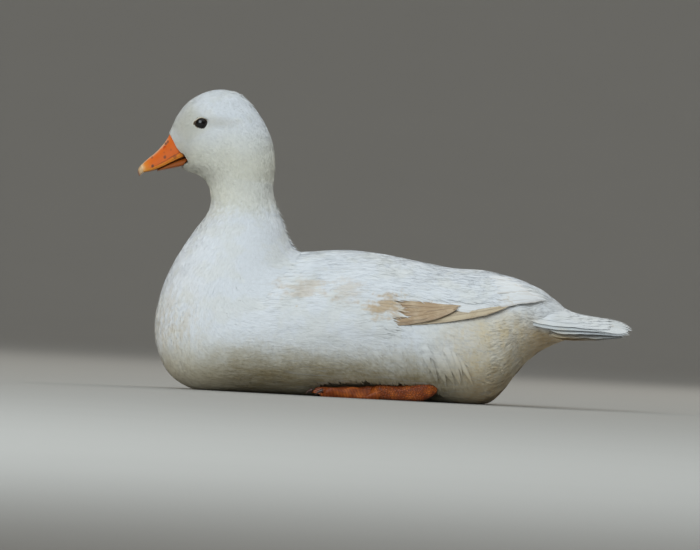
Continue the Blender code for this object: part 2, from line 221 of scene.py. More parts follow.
class Graph:
    """The node tree of one material."""

    def __init__(self, name: str, roughness: float = 0.5, **constants: float) -> None:
        """Starts a Principled material.

        Args:
            name: The material's name.
            roughness: The surface's roughness.
            **constants: Further shader sockets, with underscores for spaces.
        """
        self.material = bpy.data.materials.new(name)
        self.material.use_nodes = True
        self.tree = self.material.node_tree
        self.shader = self.tree.nodes["Principled BSDF"]
        self.shader.inputs["Roughness"].default_value = roughness
        for key, value in constants.items():
            self.shader.inputs[key.replace("_", " ")].default_value = value

    def _fill(self, socket: bpy.types.NodeSocket, value: object) -> None:
        """Links or sets one input socket.

        Args:
            socket: The socket.
            value: A link, a value, or None to leave it.
        """
        if isinstance(value, Value):
            self.tree.links.new(value.socket, socket)
        elif value is not None:
            if isinstance(value, tuple) and len(value) == 3 and socket.type == "RGBA":
                value = (*value, 1.0)
            socket.default_value = value

    def node(
        self, kind: str, settings: dict | None = None, *values: object, out: int | str = 0, **named: object
    ) -> Value:
        """Adds any node.

        Args:
            kind: The node's type.
            settings: Its properties, set before its sockets.
            *values: Values or links of its inputs, in order.
            out: The output to return.
            **named: Values or links by socket name.

        Returns:
            The output socket, wrapped.
        """
        made = self.tree.nodes.new(kind)
        for key, value in (settings or {}).items():
            setattr(made, key, value)
        for socket, value in zip(made.inputs, values):
            self._fill(socket, value)
        for key, value in named.items():
            self._fill(made.inputs[key], value)
        return Value(self, made.outputs[out])

    def place(self, scale: Triple = (1.0, 1.0, 1.0)) -> Value:
        """Object coordinates, stretched by scale."""
        found = self.node("ShaderNodeTexCoord", None, out="Object")
        return self.node("ShaderNodeMapping", None, found, None, None, scale)

    def axes(self) -> tuple[Value, Value, Value]:
        """X, Y and Z in metres."""
        split = self.node("ShaderNodeSeparateXYZ", None, self.place()).socket.node
        return tuple(Value(self, output) for output in split.outputs)

    def grain(self, scale: float, detail: float = 2.0, stretch: Triple = (1.0, 1.0, 1.0)) -> Value:
        """Noise from 0 to 1, with features of about 1/scale metres."""
        settings, place = {"noise_dimensions": "3D"}, self.place(stretch)
        return self.node("ShaderNodeTexNoise", settings, Vector=place, Scale=scale, Detail=detail)

    def stored(self, name: str) -> Value:
        """A number stored on the mesh."""
        return self.node("ShaderNodeAttribute", {"attribute_name": name}, out="Fac")

    def mix(self, first: object, second: object, share: "Value | float") -> Value:
        """A blend of two colours."""
        settings = {"data_type": "RGBA", "clamp_factor": True}
        return self.node("ShaderNodeMix", settings, share, *(None,) * 5, first, second, out=2)

    def painted(self, colour: object, *coats: tuple[object, Value]) -> Value:
        """Lays colours one over another.

        Args:
            colour: The lowest.
            *coats: The further colours, each with its share.

        Returns:
            The blend.
        """
        for tone, share in coats:
            colour = self.mix(colour, tone, share)
        return colour

    def bump(self, height: Value, depth_mm: float, strength: float = 1.0) -> None:
        """Feeds the shader's normal from a height, in millimetres at 1."""
        depth = {"Distance": depth_mm * MM, "Strength": strength}
        self.feed(Shader.NORMAL, self.node("ShaderNodeBump", None, Height=height, **depth))

    def feed(self, socket: Shader, value: Value) -> None:
        """Links a value to the shader."""
        self.tree.links.new(value.socket, self.shader.inputs[socket.value])


def away(y: Value, z: Value, mid_y: float, mid_z: float, long: float, high: float) -> Value:
    """How far a point lies from the middle of an oval patch, with 1 at its edge.

    Args:
        y: The point's y in metres.
        z: Its z.
        mid_y: The oval's middle, in millimetres.
        mid_z: The same, in z.
        long: Half its length along y, in millimetres.
        high: Half its height.

    Returns:
        The distance in radii.
    """
    along, up = (y - mid_y * MM) / (long * MM), (z - mid_z * MM) / (high * MM)
    return (along * along + up * up) ** 0.5


# ---- finishes


@dataclass(frozen=True)
class PlumageFinish:
    """White contour feathers: cool above, a painted tint of skylight; cream low on the breast, partly the
    feathers' own and partly a painted warm glow from below; tan round the vent; painted shade in the head's
    hollows, in front of the eyes, at the roots, on the tail and in a band low down that is partly dirt.
    """

    name: str = "white_plumage"
    # bluish: a painted cool tint of skylight over the white
    white: Colour = (0.86, 0.89, 0.93)
    # cream of the neck and face, and low down also a painted warm glow from below
    warm_white: Colour = (0.80, 0.78, 0.65)
    cream: Colour = (0.80, 0.68, 0.46)
    tan: Colour = (0.66, 0.49, 0.27)
    buff: Colour = (0.66, 0.50, 0.32)
    shaded: Colour = (0.60, 0.61, 0.60)
    hollow_shade: Colour = (0.57, 0.55, 0.48)
    # the band low on the body: dirt and painted shade, darker towards the floor
    dusky: Colour = (0.33, 0.262, 0.140)
    # ovals of buff on the wing, then ovals of painted shade in the hollows of the head: y, z, half length,
    # half height, share
    patches: tuple[Line, ...] = (
        (-61.0, 80.0, 20.0, 8.0, 0.40), (-28.0, 81.0, 12.0, 9.0, 0.32), (6.0, 70.5, 17.0, 9.0, 0.95),
    )
    shaded_hollows: tuple[Line, ...] = (
        (-130.0, 202.0, 17.0, 5.0, 0.50), (-145.0, 166.0, 14.0, 4.6, 0.60), (-132.0, 160.0, 10.0, 5.0, 0.35),
    )

    def material(self) -> Material:
        """Builds the material.

        Returns:
            The material.
        """
        g = Graph(self.name, roughness=0.75, Specular_IOR_Level=0.25, Sheen_Weight=0.15, Sheen_Roughness=0.5)
        x, y, z = g.axes()
        cloudy = g.grain(55.0, 3.0)
        streaks = g.grain(160.0, 3.0, (1.0, 1.0, 0.35))
        mottle = g.grain(330.0, 4.0)
        ragged = g.grain(190.0, 4.0, (1.0, 0.35, 1.0))
        hairs = g.grain(620.0, 3.0, (1.0, 0.07, 1.0))
        unevenness = (cloudy - 0.5) * 0.022 + (mottle - 0.5) * 0.014
        height = z + unevenness
        low = 1.0 - height.span(0.006, 0.048)
        above_tail = (z + y * 0.10).span(0.066, 0.073)
        rear = (y + unevenness).span(0.030, 0.080) * (1.0 - height.span(0.054, 0.080))
        rear = rear * (1.0 - y.span(0.106, 0.128) * above_tail)
        chest = (1.0 - (y + unevenness).span(-0.156, -0.108)) * (1.0 - height.span(0.040, 0.092))
        neck = height.span(0.124, 0.146) * (1.0 - height.span(0.160, 0.186))
        neck = neck * (1.0 - y.span(-0.135, -0.080) * 0.4)
        face = (1.0 - (z + unevenness * 0.6).span(0.170, 0.206)) * z.span(0.150, 0.162)
        lores = 1.0 - ((y + 0.153).abs() + (z - 0.198).abs() * 0.9).span(0.004, 0.024)
        blotch = cloudy.span(0.46, 0.62)
        fleck = (streaks + (mottle - 0.5) * 0.6).span(0.36, 0.72)
        warm = (low * 0.9).most(neck * 0.85).most(face * 0.85).most(lores * 0.9).most(blotch * 0.22)
        creamy = (low * low * 0.40).most(rear * (fleck * 0.35 + 0.62)).most(chest * fleck * 0.35)
        under = rear * (1.0 - height.span(0.004, 0.036))
        tail = y.span(0.100, 0.120) * (1.0 - above_tail) * (1.0 - y.span(0.150, 0.172) * 0.65)
        # a band low on the body, darker towards the floor: partly dirt and partly painted shade
        dirt_and_shade = low * (y.span(-0.150, -0.085) * 0.66 + 0.34) * (1.0 - rear * 0.9)
        dirt_and_shade = dirt_and_shade.most(chest * fleck * 0.18)
        coats = [
            # warm white here and cream below: the feathers' own cream, and low down partly a painted warm
            # glow from below
            (self.warm_white, warm * (mottle * 0.5 + 0.75)),
            (self.shaded, mottle.span(0.44, 0.70) * height.span(0.105, 0.135) * 0.20),
            # painted shade in front of the eye
            (self.shaded, lores * (mottle * 0.3 + 0.3)),
            (self.cream, creamy),
            # tan round the vent; under the tail, staining and painted shadow under the tail's root
            (self.tan, (under * (fleck * 0.4 + 0.55)).most(tail * 0.80)),
            # painted shade on the top of the tail
            (self.shaded, y.span(0.118, 0.134) * (1.0 - tail) * 0.40),
            (self.dusky, dirt_and_shade * ((ragged + hairs) * 0.9 + 0.10)),
            (self.shaded, hairs.span(0.52, 0.68) * y.span(-0.120, -0.060) * 0.38),
        ]
        for *oval, share in self.patches:
            edge = (away(y, z, *oval) + (ragged - 0.5) * 2.6 + (mottle - 0.5) * 1.2).span(0.30, 1.30)
            coats.append((self.buff, (1.0 - edge) * share * x.abs().span(0.030, 0.042)))
        # painted shade in the hollows of the head, behind the eye and under the cheek
        for *oval, share in self.shaded_hollows:
            edge = (away(y, z, *oval) + (mottle - 0.5) * 0.8).span(0.10, 1.30)
            coats.append((self.hollow_shade, (1.0 - edge) * share * x.abs().span(0.006, 0.014)))
        shade = g.stored("shade")
        # random tone per feather, then painted shade towards the roots, which covers all of the skin
        coats += [(self.shaded, shade * shade * 0.16), (self.shaded, g.stored("root") * 0.14)]
        g.feed(Shader.COLOUR, g.painted(self.white, *coats))
        g.bump(g.grain(900.0, 3.0) + hairs * 0.6, 0.25, 0.5)
        return g.material


@dataclass(frozen=True)
class VaneFinish:
    """Large feathers with barbs: white, with a share of buff and darker edges."""

    name: str
    pale: Colour
    stain: Colour
    stained: float
    edge: Colour
    edge_share: float
    streak_share: float = 0.35

    @staticmethod
    def _lines(g: Graph, along: Value, across: Value, detail: float) -> Value:
        """Noise over one vane, different on each."""
        flat = g.node("ShaderNodeCombineXYZ", None, along, across + g.stored("shade") * 40.0, 0.0)
        return g.node("ShaderNodeTexNoise", {"noise_dimensions": "2D"}, Scale=1.0, Detail=detail, Vector=flat)

    def material(self) -> Material:
        """Builds the material.

        Returns:
            The material.
        """
        g = Graph(self.name, roughness=0.62, Specular_IOR_Level=0.3, Sheen_Weight=0.1, Sheen_Roughness=0.4)
        along, across = g.stored("along"), g.stored("across")
        barb = along - across.abs() * 1.1
        barbs = self._lines(g, barb * 1.6, across * 0.25, 3.0)
        cloudy = g.grain(70.0, 3.0) + (barbs - 0.5) * self.streak_share
        threads = self._lines(g, along * 0.02, across * 0.8, 2.0)
        quill = 1.0 - across.abs().span(0.15, 0.55)
        colour = g.painted(
            self.pale,
            (self.stain, cloudy.span(0.62 - self.stained * 0.5, 0.86 - self.stained * 0.5)),
            (self.edge, g.stored("rim").span(0.50, 0.95) * self.edge_share),
            (WHITE, g.stored("shade") * 0.12),
            (self.edge, threads.span(0.54, 0.70) * self.edge_share * 0.8),
            (self.pale, quill * 0.5),
        )
        g.feed(Shader.COLOUR, colour)
        ripple = (barb * 9.0).sine() * 0.5 + 0.5
        g.bump(barbs * 0.8 + ripple * 0.2 + quill * 0.5, 0.16, 0.7)
        return g.material


@dataclass(frozen=True)
class BillFinish:
    """Orange bill skin: deeper above, yellow by the cutting edge, with dark spots; a painted highlight pales
    the ridge and, with some real paleness, the top of the tip; painted shade darkens the mouth line, the
    inside of the mouth and the lower half.
    """

    name: str = "orange_bill"
    orange: Colour = (0.78, 0.175, 0.018)
    deep: Colour = (0.66, 0.105, 0.012)
    yellow: Colour = (0.78, 0.34, 0.045)
    # pale tone of the painted highlight on the ridge and the tip's top
    ridge: Colour = (0.86, 0.66, 0.42)
    spot: Colour = (0.13, 0.055, 0.035)
    shadow: Colour = (0.34, 0.070, 0.003)
    # y, z, radius and depth of tone
    spots: tuple[Line, ...] = (
        (-170.2, 174.1, 1.25, 0.75), (-179.1, 166.8, 1.2, 0.9), (-162.9, 174.6, 1.6, 0.45),
        (-179.9, 173.2, 0.9, 0.5), (-171.0, 177.5, 0.7, 0.3), (-170.2, 184.2, 1.1, 0.8),
        (-168.8, 185.7, 1.0, 0.7), (-166.0, 180.0, 0.8, 0.3),
    )

    def material(self) -> Material:
        """Builds the material.

        Returns:
            The material.
        """
        g = Graph(self.name, roughness=0.42, Specular_IOR_Level=0.15, Subsurface_Weight=0.06)
        g.shader.inputs["Subsurface Radius"].default_value = (0.003, 0.001, 0.0005)
        g.shader.inputs["Subsurface Scale"].default_value = 1.0
        _, y, z = g.axes()
        round_way, lengthwise = g.stored("round"), g.stored("along")
        wobble = g.grain(300.0, 3.0) - 0.5
        ridge_highlight = 1.0 - (round_way + wobble * 0.08).span(0.02, 0.20)
        tip = lengthwise.span(0.80, 0.98) * (1.0 - round_way.span(0.28, 0.60))
        way = round_way + wobble * 0.03
        line = (1.0 - (way - 0.465).abs().span(0.003, 0.014)) * (1.0 - lengthwise.span(0.45, 0.80))
        border = g.stored("border") * (round_way + wobble * 0.3).span(0.30, 0.62)
        coats = [
            (self.deep, (g.grain(130.0, 2.0) * 0.8 + 0.1) * (1.0 - lengthwise.span(0.55, 1.0))),
            (self.yellow, (round_way + wobble * 0.06).span(0.455, 0.53) * 0.6),
            (self.yellow, lengthwise.span(0.62, 0.98) * 0.75),
            # painted highlight on the ridge, and on the tip's top partly painted highlight
            (self.ridge, ridge_highlight * lengthwise.span(0.02, 0.2) * 0.8),
            (self.ridge, tip * 0.85),
            # painted shade along the mouth line
            (self.spot, line * (wobble * 1.2 + 0.5)),
            # painted shade on the underside of the upper half, inside the mouth, and over the lower half
            (self.spot, way.span(0.62, 0.76) * 0.75),
            (self.spot, border * 0.85),
            (self.shadow, g.stored("under")),
        ]
        for spot_y, spot_z, radius, share in self.spots:
            edge = (away(y, z, spot_y, spot_z, radius, radius / 0.8) + wobble * 1.4).span(0.45, 1.15)
            coats.append((self.spot, (1.0 - edge) * share))
        g.feed(Shader.COLOUR, g.painted(self.orange, *coats))
        g.feed(Shader.ROUGHNESS, g.grain(500.0, 2.0) * 0.25 + 0.34)
        g.bump(g.grain(700.0, 4.0), 0.12, 0.6)
        return g.material


@dataclass(frozen=True)
class LegFinish:
    """Orange leg skin: cross plates on the toes and small round scales on the shank."""

    name: str = "orange_leg_skin"
    orange: Colour = (0.34, 0.066, 0.010)
    bright: Colour = (0.62, 0.150, 0.022)
    groove: Colour = (0.060, 0.015, 0.005)

    def material(self) -> Material:
        """Builds the material.

        Returns:
            The material.
        """
        g = Graph(self.name, roughness=0.42, Specular_IOR_Level=0.35)
        plates = g.stored("plates")
        place = g.place((1.0, 0.8, 1.0))
        cells = g.node("ShaderNodeTexVoronoi", {"feature": "DISTANCE_TO_EDGE"}, Vector=place, Scale=720.0)
        scales = cells.span(0.0, 0.22)
        bands = ((g.stored("along") * 5.6).sine() * 0.5 + 0.5).span(0.05, 0.55)
        relief = scales * (1.0 - plates) + bands * plates
        patches = g.grain(160.0, 3.0)
        colour = g.mix(self.orange, self.bright, patches.span(0.40, 0.70))
        colour = g.mix(self.groove, colour, relief * 0.75 + 0.25)
        g.feed(Shader.COLOUR, colour)
        g.bump(relief + g.grain(1500.0, 2.0) * 0.15, 0.35, 0.9)
        return g.material


@dataclass(frozen=True)
class HornFinish:
    """Brown horn of the bill's nail or of a claw."""

    name: str
    horn: Colour
    tip: Colour

    def material(self) -> Material:
        """Builds the material.

        Returns:
            The material.
        """
        g = Graph(self.name, roughness=0.35, Specular_IOR_Level=0.5)
        lengthwise = g.stored("along")
        colour = g.mix(self.horn, self.tip, (lengthwise + (g.grain(600.0, 2.0) - 0.5) * 0.3).span(0.30, 0.70))
        g.feed(Shader.COLOUR, colour)
        g.bump(g.grain(900.0, 3.0, (1.0, 0.3, 1.0)), 0.08, 0.5)
        return g.material


@dataclass(frozen=True)
class EyeFinish:
    """A wet dark eye: near-black brown iris round a black pupil."""

    name: str = "dark_eye"
    pupil: Colour = (0.003, 0.003, 0.003)
    iris: Colour = (0.022, 0.011, 0.006)

    def material(self) -> Material:
        """Builds the material.

        Returns:
            The material.
        """
        g = Graph(self.name, roughness=0.12, Coat_Weight=0.35, Coat_Roughness=0.03, Specular_IOR_Level=0.35)
        ring = g.stored("ring")
        fibres = g.grain(1800.0, 2.0)
        iris = (self.iris, ring.span(0.40, 0.46) * (fibres * 0.8 + 0.4))
        g.feed(Shader.COLOUR, g.painted(self.pupil, iris, (self.pupil, ring.span(0.66, 0.80))))
        return g.material


@dataclass(frozen=True)
class LidFinish:
    """Eyelids: short white feathers that give way to buff bare skin, dark at the rim."""

    name: str = "eyelid_skin"
    # greyer than the coat's white, to match the painted shade in front of the eye
    feathered: Colour = (0.72, 0.72, 0.65)
    buff: Colour = (0.50, 0.44, 0.32)
    crease: Colour = (0.055, 0.035, 0.022)
    fleck: Colour = (0.60, 0.50, 0.38)

    def material(self) -> Material:
        """Builds the material.

        Returns:
            The material.
        """
        g = Graph(self.name, roughness=0.65, Specular_IOR_Level=0.2)
        rim = g.stored("rim")
        skin = (self.buff, rim.span(0.0, 0.4)), (self.crease, rim.span(0.4, 1.0))
        g.feed(Shader.COLOUR, g.painted(self.feathered, *skin, (self.fleck, g.grain(1500.0, 2.0) * 0.10)))
        g.bump(g.grain(2500.0, 3.0), 0.08, 0.6)
        return g.material


@dataclass(frozen=True)
class FloorFinish:
    """Matte pale studio paper."""

    name: str = "studio_paper"
    tone: Colour = (0.40, 0.39, 0.37)

    def material(self) -> Material:
        """Builds the material.

        Returns:
            The material.
        """
        g = Graph(self.name, roughness=0.9, Specular_IOR_Level=0.1)
        g.feed(Shader.COLOUR, g.mix(self.tone, tuple(c * 0.97 for c in self.tone), g.grain(6.0, 2.0)))
        return g.material


# ---- the body's form


@dataclass
class BodyForm:
    """The outer form of trunk, neck and head, to the tips of the coat.

    Stations run from the tail root (place 0) to the bill root. Each is a flat section from a dorsal to a
    ventral point of the midplane. A place and an angle, in radians round from the dorsal point, name a point.
    """

    # dorsal y, z; ventral y, z; half width; level of the widest point; fullness above and below; coat depth
    stations: tuple[Line, ...] = (
        (139.5, 74.0, 151.0, 58.0, 14.0, 0.50, 2.0, 2.0, 1.3),
        (129.5, 81.8, 135.0, 51.2, 24.0, 0.50, 2.0, 2.0, 1.8),
        (118.0, 88.0, 119.0, 42.3, 34.0, 0.50, 2.0, 2.0, 2.1),
        (106.0, 92.9, 103.6, 26.8, 44.5, 0.48, 2.0, 2.0, 2.4),
        (92.0, 96.6, 90.0, 7.4, 53.0, 0.48, 2.0, 2.1, 2.6),
        (75.0, 99.5, 74.0, -1.4, 59.5, 0.50, 2.0, 2.2, 2.6),
        (48.0, 100.6, 46.0, -1.5, 64.5, 0.52, 2.0, 2.3, 2.4),
        (20.0, 104.6, 13.0, -1.5, 67.0, 0.53, 2.0, 2.35, 2.4),
        (-10.0, 108.9, -22.0, -1.5, 68.0, 0.54, 2.0, 2.35, 2.4),
        (-35.0, 109.3, -60.0, -1.5, 67.0, 0.55, 2.0, 2.35, 2.4),
        (-53.0, 107.9, -98.0, -1.5, 64.5, 0.56, 2.0, 2.3, 2.4),
        (-64.0, 108.0, -132.0, -1.5, 61.0, 0.58, 2.0, 2.2, 2.4),
        (-69.5, 110.8, -155.5, 8.5, 57.5, 0.58, 2.0, 2.1, 2.3),
        (-72.2, 115.0, -168.0, 28.0, 53.5, 0.57, 2.0, 2.0, 2.1),
        (-75.0, 120.0, -171.2, 50.0, 48.5, 0.55, 2.0, 2.0, 2.0),
        (-77.6, 126.5, -167.0, 75.0, 42.0, 0.53, 2.0, 2.0, 1.8),
        (-80.4, 133.0, -157.0, 99.5, 35.0, 0.52, 2.0, 2.0, 1.6),
        (-83.6, 140.0, -145.0, 119.5, 28.5, 0.51, 2.0, 2.0, 1.6),
        (-86.2, 147.0, -136.3, 132.5, 24.3, 0.50, 2.0, 2.0, 1.5),
        (-87.3, 154.0, -133.8, 141.5, 22.4, 0.50, 2.0, 2.0, 1.4),
        (-87.2, 162.0, -134.3, 148.5, 22.2, 0.50, 2.0, 2.0, 1.3),
        (-86.8, 171.0, -136.2, 154.3, 23.2, 0.50, 2.0, 2.0, 1.2),
        (-88.0, 182.5, -139.8, 158.8, 24.8, 0.50, 2.0, 2.0, 1.2),
        (-91.8, 195.0, -143.5, 161.5, 25.8, 0.50, 2.0, 2.1, 1.1),
        (-100.0, 209.0, -146.6, 162.8, 26.0, 0.52, 2.0, 2.1, 1.0),
        (-112.5, 222.3, -149.3, 163.5, 25.2, 0.54, 2.0, 2.1, 1.0),
        (-127.0, 227.3, -151.6, 164.2, 23.8, 0.56, 2.1, 2.1, 0.9),
        (-142.0, 224.8, -153.7, 164.9, 21.4, 0.58, 2.1, 1.95, 0.8),
        (-154.5, 217.0, -155.5, 165.6, 18.2, 0.59, 2.1, 1.8, 0.8),
        (-162.0, 207.0, -157.2, 166.3, 14.4, 0.60, 2.1, 1.7, 0.7),
        (-166.7, 196.3, -158.6, 166.8, 11.4, 0.62, 2.0, 1.7, 0.6),
        (-169.6, 188.5, -160.2, 167.4, 9.6, 0.64, 2.0, 1.8, 0.5),
    )
    bed_edge: Line = (24.0, 44.0, 55.0, 60.0, 67.0, 71.5, 78.5, 86.5, 91.0, 92.0, 86.0, 70.0, 50.0)
    bed_ends: Pair = (1.0, 11.8)
    bed_fade: float = 1.6
    wing_bed: float = 6.0
    leg_bed_inner: float = 34.5
    leg_bed_y: Line = (-57.0, -51.0, -38.0, -20.0, 5.0, 25.0, 39.0, 43.4, 44.8)
    leg_bed_top: Line = (2.0, 12.5, 15.0, 16.6, 16.8, 17.2, 19.0, 18.0, 4.0)
    face_z: Line = (155.0, 160.0, 168.1, 171.0, 174.2, 176.9, 178.2, 181.4, 186.4, 191.6, 193.5)
    face_y: Line = (
        -215.0, -160.0, -157.4, -152.6, -154.6, -156.4, -159.1, -162.1, -164.9, -168.0, -190.0
    )
    finest: int = 16
    corners: int = 240

    def __post_init__(self) -> None:
        """Works out the form once on a fine net, to be read by place and angle."""
        self.end = float(len(self.stations) - 1)
        places = np.linspace(0.0, self.end, int(self.end) * self.finest + 1)
        angles = np.linspace(0.0, TURN, self.corners + 1)
        place, angle = np.meshgrid(places, angles, indexing="ij")
        self.net = self._outline(place, angle)
        step = 0.02
        along = (self._outline(place + step, angle) - self._outline(place - step, angle)) / (2 * step)
        around = (self._outline(place, angle + step) - self._outline(place, angle - step)) / (2 * step)
        self.normals = unit(np.cross(along, around))
        self.along, self.around = along, around
        self.areas = np.linalg.norm(np.cross(along, around), axis=-1)
        self.places, self.angles = places, angles

    def _outline(self, place: Array, angle: Array) -> Array:
        """Points of the form by the sections' formula."""
        row = catmull(np.array(self.stations), place)
        return ring(row, row[..., 5], row[..., 6], row[..., 7], angle)

    def read(self, table: Array, place: Array, angle: Array) -> Array:
        """Reads a table of the net between its corners.

        Args:
            table: Values on the net.
            place: Places along the stations; beyond the ends the form runs on straight.
            angle: Angles in radians.

        Returns:
            Values at the places and angles.
        """
        high, wide = table.shape[0] - 1, table.shape[1] - 1
        p = place * self.finest
        a = np.mod(angle, TURN) / TURN * wide
        i = np.clip(np.floor(p).astype(int), 0, high - 1)
        j = np.clip(np.floor(a).astype(int), 0, wide - 1)
        f, h = p - i, a - j
        if table.ndim == 3:
            f, h = f[..., None], h[..., None]
        low = table[i, j] * (1 - h) + table[i, j + 1] * h
        top = table[i + 1, j] * (1 - h) + table[i + 1, j + 1] * h
        return low * (1 - f) + top * f

    def fraction(self, row: Line, place: Array | float) -> Array:
        """A number given for each of the first stations, read at places."""
        return catmull(np.array(row, float)[:, None], np.clip(place, 0.0, len(row) - 1.0))[..., 0]

    def coat_depth(self, place: Array) -> Array:
        """How far the skin lies inside the form."""
        return catmull(np.array(self.stations)[:, 8:9], np.clip(place, 0.0, self.end))[..., 0]

    def bed(self, place: Array, angle: Array) -> Array:
        """How deep the body is sunk under the folded wing.

        Args:
            place: Places along the stations.
            angle: Angles in radians.

        Returns:
            The depths.
        """
        inside = self.fraction(self.bed_edge, place) - degrees_down(angle)
        rear, front = self.bed_ends
        ends = eased((front - place) / self.bed_fade) * eased((place - rear) / self.bed_fade)
        return self.wing_bed * eased((inside + 12.0) / 36.0) * ends

    def point(self, place: Array, angle: Array, height: Array | float) -> Array:
        """Points at a height over the form."""
        height = np.asarray(height, float)[..., None] if np.ndim(height) else height
        return self.read(self.net, place, angle) + self.read(self.normals, place, angle) * height

    def leg_top(self, points: Array) -> Array:
        """Height of the leg's bed over each point, or a level below the floor outside it.

        Args:
            points: Points near it.

        Returns:
            The heights.
        """
        y = points[..., 1]
        top = np.interp(y, self.leg_bed_y, self.leg_bed_top, left=-20.0, right=-20.0)
        return np.where(np.abs(points[..., 0]) > self.leg_bed_inner, top, -20.0)

    def before_face(self, points: Array) -> Array:
        """How far points lie in front of the line where the face's feathers end at the bill."""
        return np.interp(points[..., 2], self.face_z, self.face_y) - points[..., 1]

    def place_of(self, y: float, z: float, side: Side) -> Pair:
        """The place and angle of the form's point that shows at y and z from one side.

        Args:
            y: Where it shows.
            z: The same, in z.
            side: The side it is seen from.

        Returns:
            Its place and angle.
        """
        half = self.net[:, : self.corners // 2 + 1]
        miss = (half[..., 1] - y) ** 2 + (half[..., 2] - z) ** 2
        i, j = np.unravel_index(int(np.argmin(miss)), miss.shape)
        angle = self.angles[j] if side is Side.LEFT else TURN - self.angles[j]
        return float(self.places[i]), float(angle)


# ---- mesh helpers


def make_object(name: str, mesh: Mesh, material: Material) -> Piece:
    """Puts a mesh in the scene as a finished piece of the duck.

    Args:
        name: The piece's name.
        mesh: Its mesh, in metres.
        material: Its finish.

    Returns:
        The new object.
    """
    mesh.materials.append(material)
    mesh.shade_smooth()
    piece = bpy.data.objects.new(name, mesh)
    bpy.context.scene.collection.objects.link(piece)
    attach(piece, BODY)
    LOG.info("%s: %d faces", name, len(mesh.polygons))
    return piece


def store(mesh: Mesh, name: str, values: Array) -> None:
    """Stores one number for each point of a mesh."""
    layer = mesh.attributes.new(name, "FLOAT", "POINT")
    layer.data.foreach_set("value", np.ascontiguousarray(values, np.float32))


def stored(mesh: Mesh, name: str) -> Array:
    """The numbers stored for the points of a mesh.

    Args:
        mesh: The mesh.
        name: Name they were stored under.

    Returns:
        One number for each point.
    """
    values = np.empty(len(mesh.vertices), np.float32)
    mesh.attributes[name].data.foreach_get("value", values)
    return values


def points_of(mesh: Mesh) -> Array:
    """The points of a mesh, in metres."""
    flat = np.empty(len(mesh.vertices) * 3, np.float32)
    mesh.vertices.foreach_get("co", flat)
    return flat.reshape(-1, 3)


def finished(bm: bmesh.types.BMesh, name: str) -> Mesh:
    """Turns a bmesh into a mesh and frees it.

    Args:
        bm: What to turn and free.
        name: Name of the mesh.

    Returns:
        The mesh.
    """
    mesh = bpy.data.meshes.new(name)
    bm.to_mesh(mesh)
    bm.free()
    return mesh


def lay_out(mesh: Mesh, per_point: Array) -> None:
    """Gives a mesh its unwrap from a place on it for each point.

    Args:
        mesh: The mesh.
        per_point: Places from 0 to 1, one row for each point.
    """
    corners = np.empty(len(mesh.loops), np.int32)
    mesh.loops.foreach_get("vertex_index", corners)
    layer = mesh.uv_layers.new(name="OFBake")
    layer.data.foreach_set("uv", np.clip(per_point[corners], 0.001, 0.999).astype(np.float32).ravel())


def tube_mesh(name: str, around: int, along: int, shape: Callable[[Array, Array], Array]) -> Mesh:
    """A closed tube made from a grid whose corners are moved to a surface.

    Args:
        name: The mesh's name.
        around: Faces in the first direction, which closes on itself.
        along: Faces in the second direction, closed by caps.
        shape: Gives points from two arrays that run from 0 to 1.

    Returns:
        The mesh, unwrapped over the whole square, with both arrays stored as u and v.
    """
    bm = bmesh.new()
    bmesh.ops.create_grid(bm, x_segments=around, y_segments=along, size=0.5)
    mesh = finished(bm, name)
    u, v, _ = np.clip(points_of(mesh) + 0.5, 0.0, 1.0).T
    lay_out(mesh, np.stack([u * 0.98 + 0.01, v * 0.98 + 0.01], axis=-1))
    store(mesh, "u", u)
    store(mesh, "v", v)
    mesh.vertices.foreach_set("co", (shape(u, v) * MM).astype(np.float32).ravel())
    bm = bmesh.new()
    bm.from_mesh(mesh)
    bmesh.ops.remove_doubles(bm, verts=bm.verts[:], dist=1e-6)
    bmesh.ops.holes_fill(bm, edges=[edge for edge in bm.edges if edge.is_boundary])
    bmesh.ops.recalc_face_normals(bm, faces=bm.faces[:])
    bm.to_mesh(mesh)
    bm.free()
    mesh.update()
    return mesh


@dataclass
class Cutting:
    """The outline of one feather or tuft, before it is laid on the body.

    Points are (s, w): s from the root at 0 to the tip at 1, and w from -1 to 1 across, and each has its share
    of the full width at s.
    """

    along: int = 2
    across: int = 1
    root_width: float = 0.5
    widest: float = 0.45
    tip_round: float = 1.6

    def __post_init__(self) -> None:
        """Cuts the outline from a grid, with a tip drawn to a point."""
        bm = bmesh.new()
        bmesh.ops.create_grid(bm, x_segments=self.across, y_segments=self.along, size=0.5)
        tip = [vert for vert in bm.verts if vert.co.y > 0.499]
        bmesh.ops.pointmerge(bm, verts=tip, merge_co=(0.0, 0.5, 0.0))
        bmesh.ops.triangulate(bm, faces=[face for face in bm.faces if len(face.verts) > 3])
        bm.verts.index_update()
        self.s = np.array([vert.co.y + 0.5 for vert in bm.verts])
        self.w = np.array([2.0 * vert.co.x for vert in bm.verts])
        self.faces = np.array([[vert.index for vert in face.verts] for face in bm.faces])
        bm.free()
        self.root = int(np.argmin(self.s + 0.1 * np.abs(self.w)))
        self.tip = int(np.argmax(self.s - 0.1 * np.abs(self.w)))
        swell = np.sin(0.5 * math.pi * np.clip(self.s / self.widest, 0.0, 1.0))
        run = np.clip((self.s - self.widest) / (1.0 - self.widest), 0.0, 1.0)
        self.share = (self.root_width + (1.0 - self.root_width) * swell) * (1.0 - run**self.tip_round)


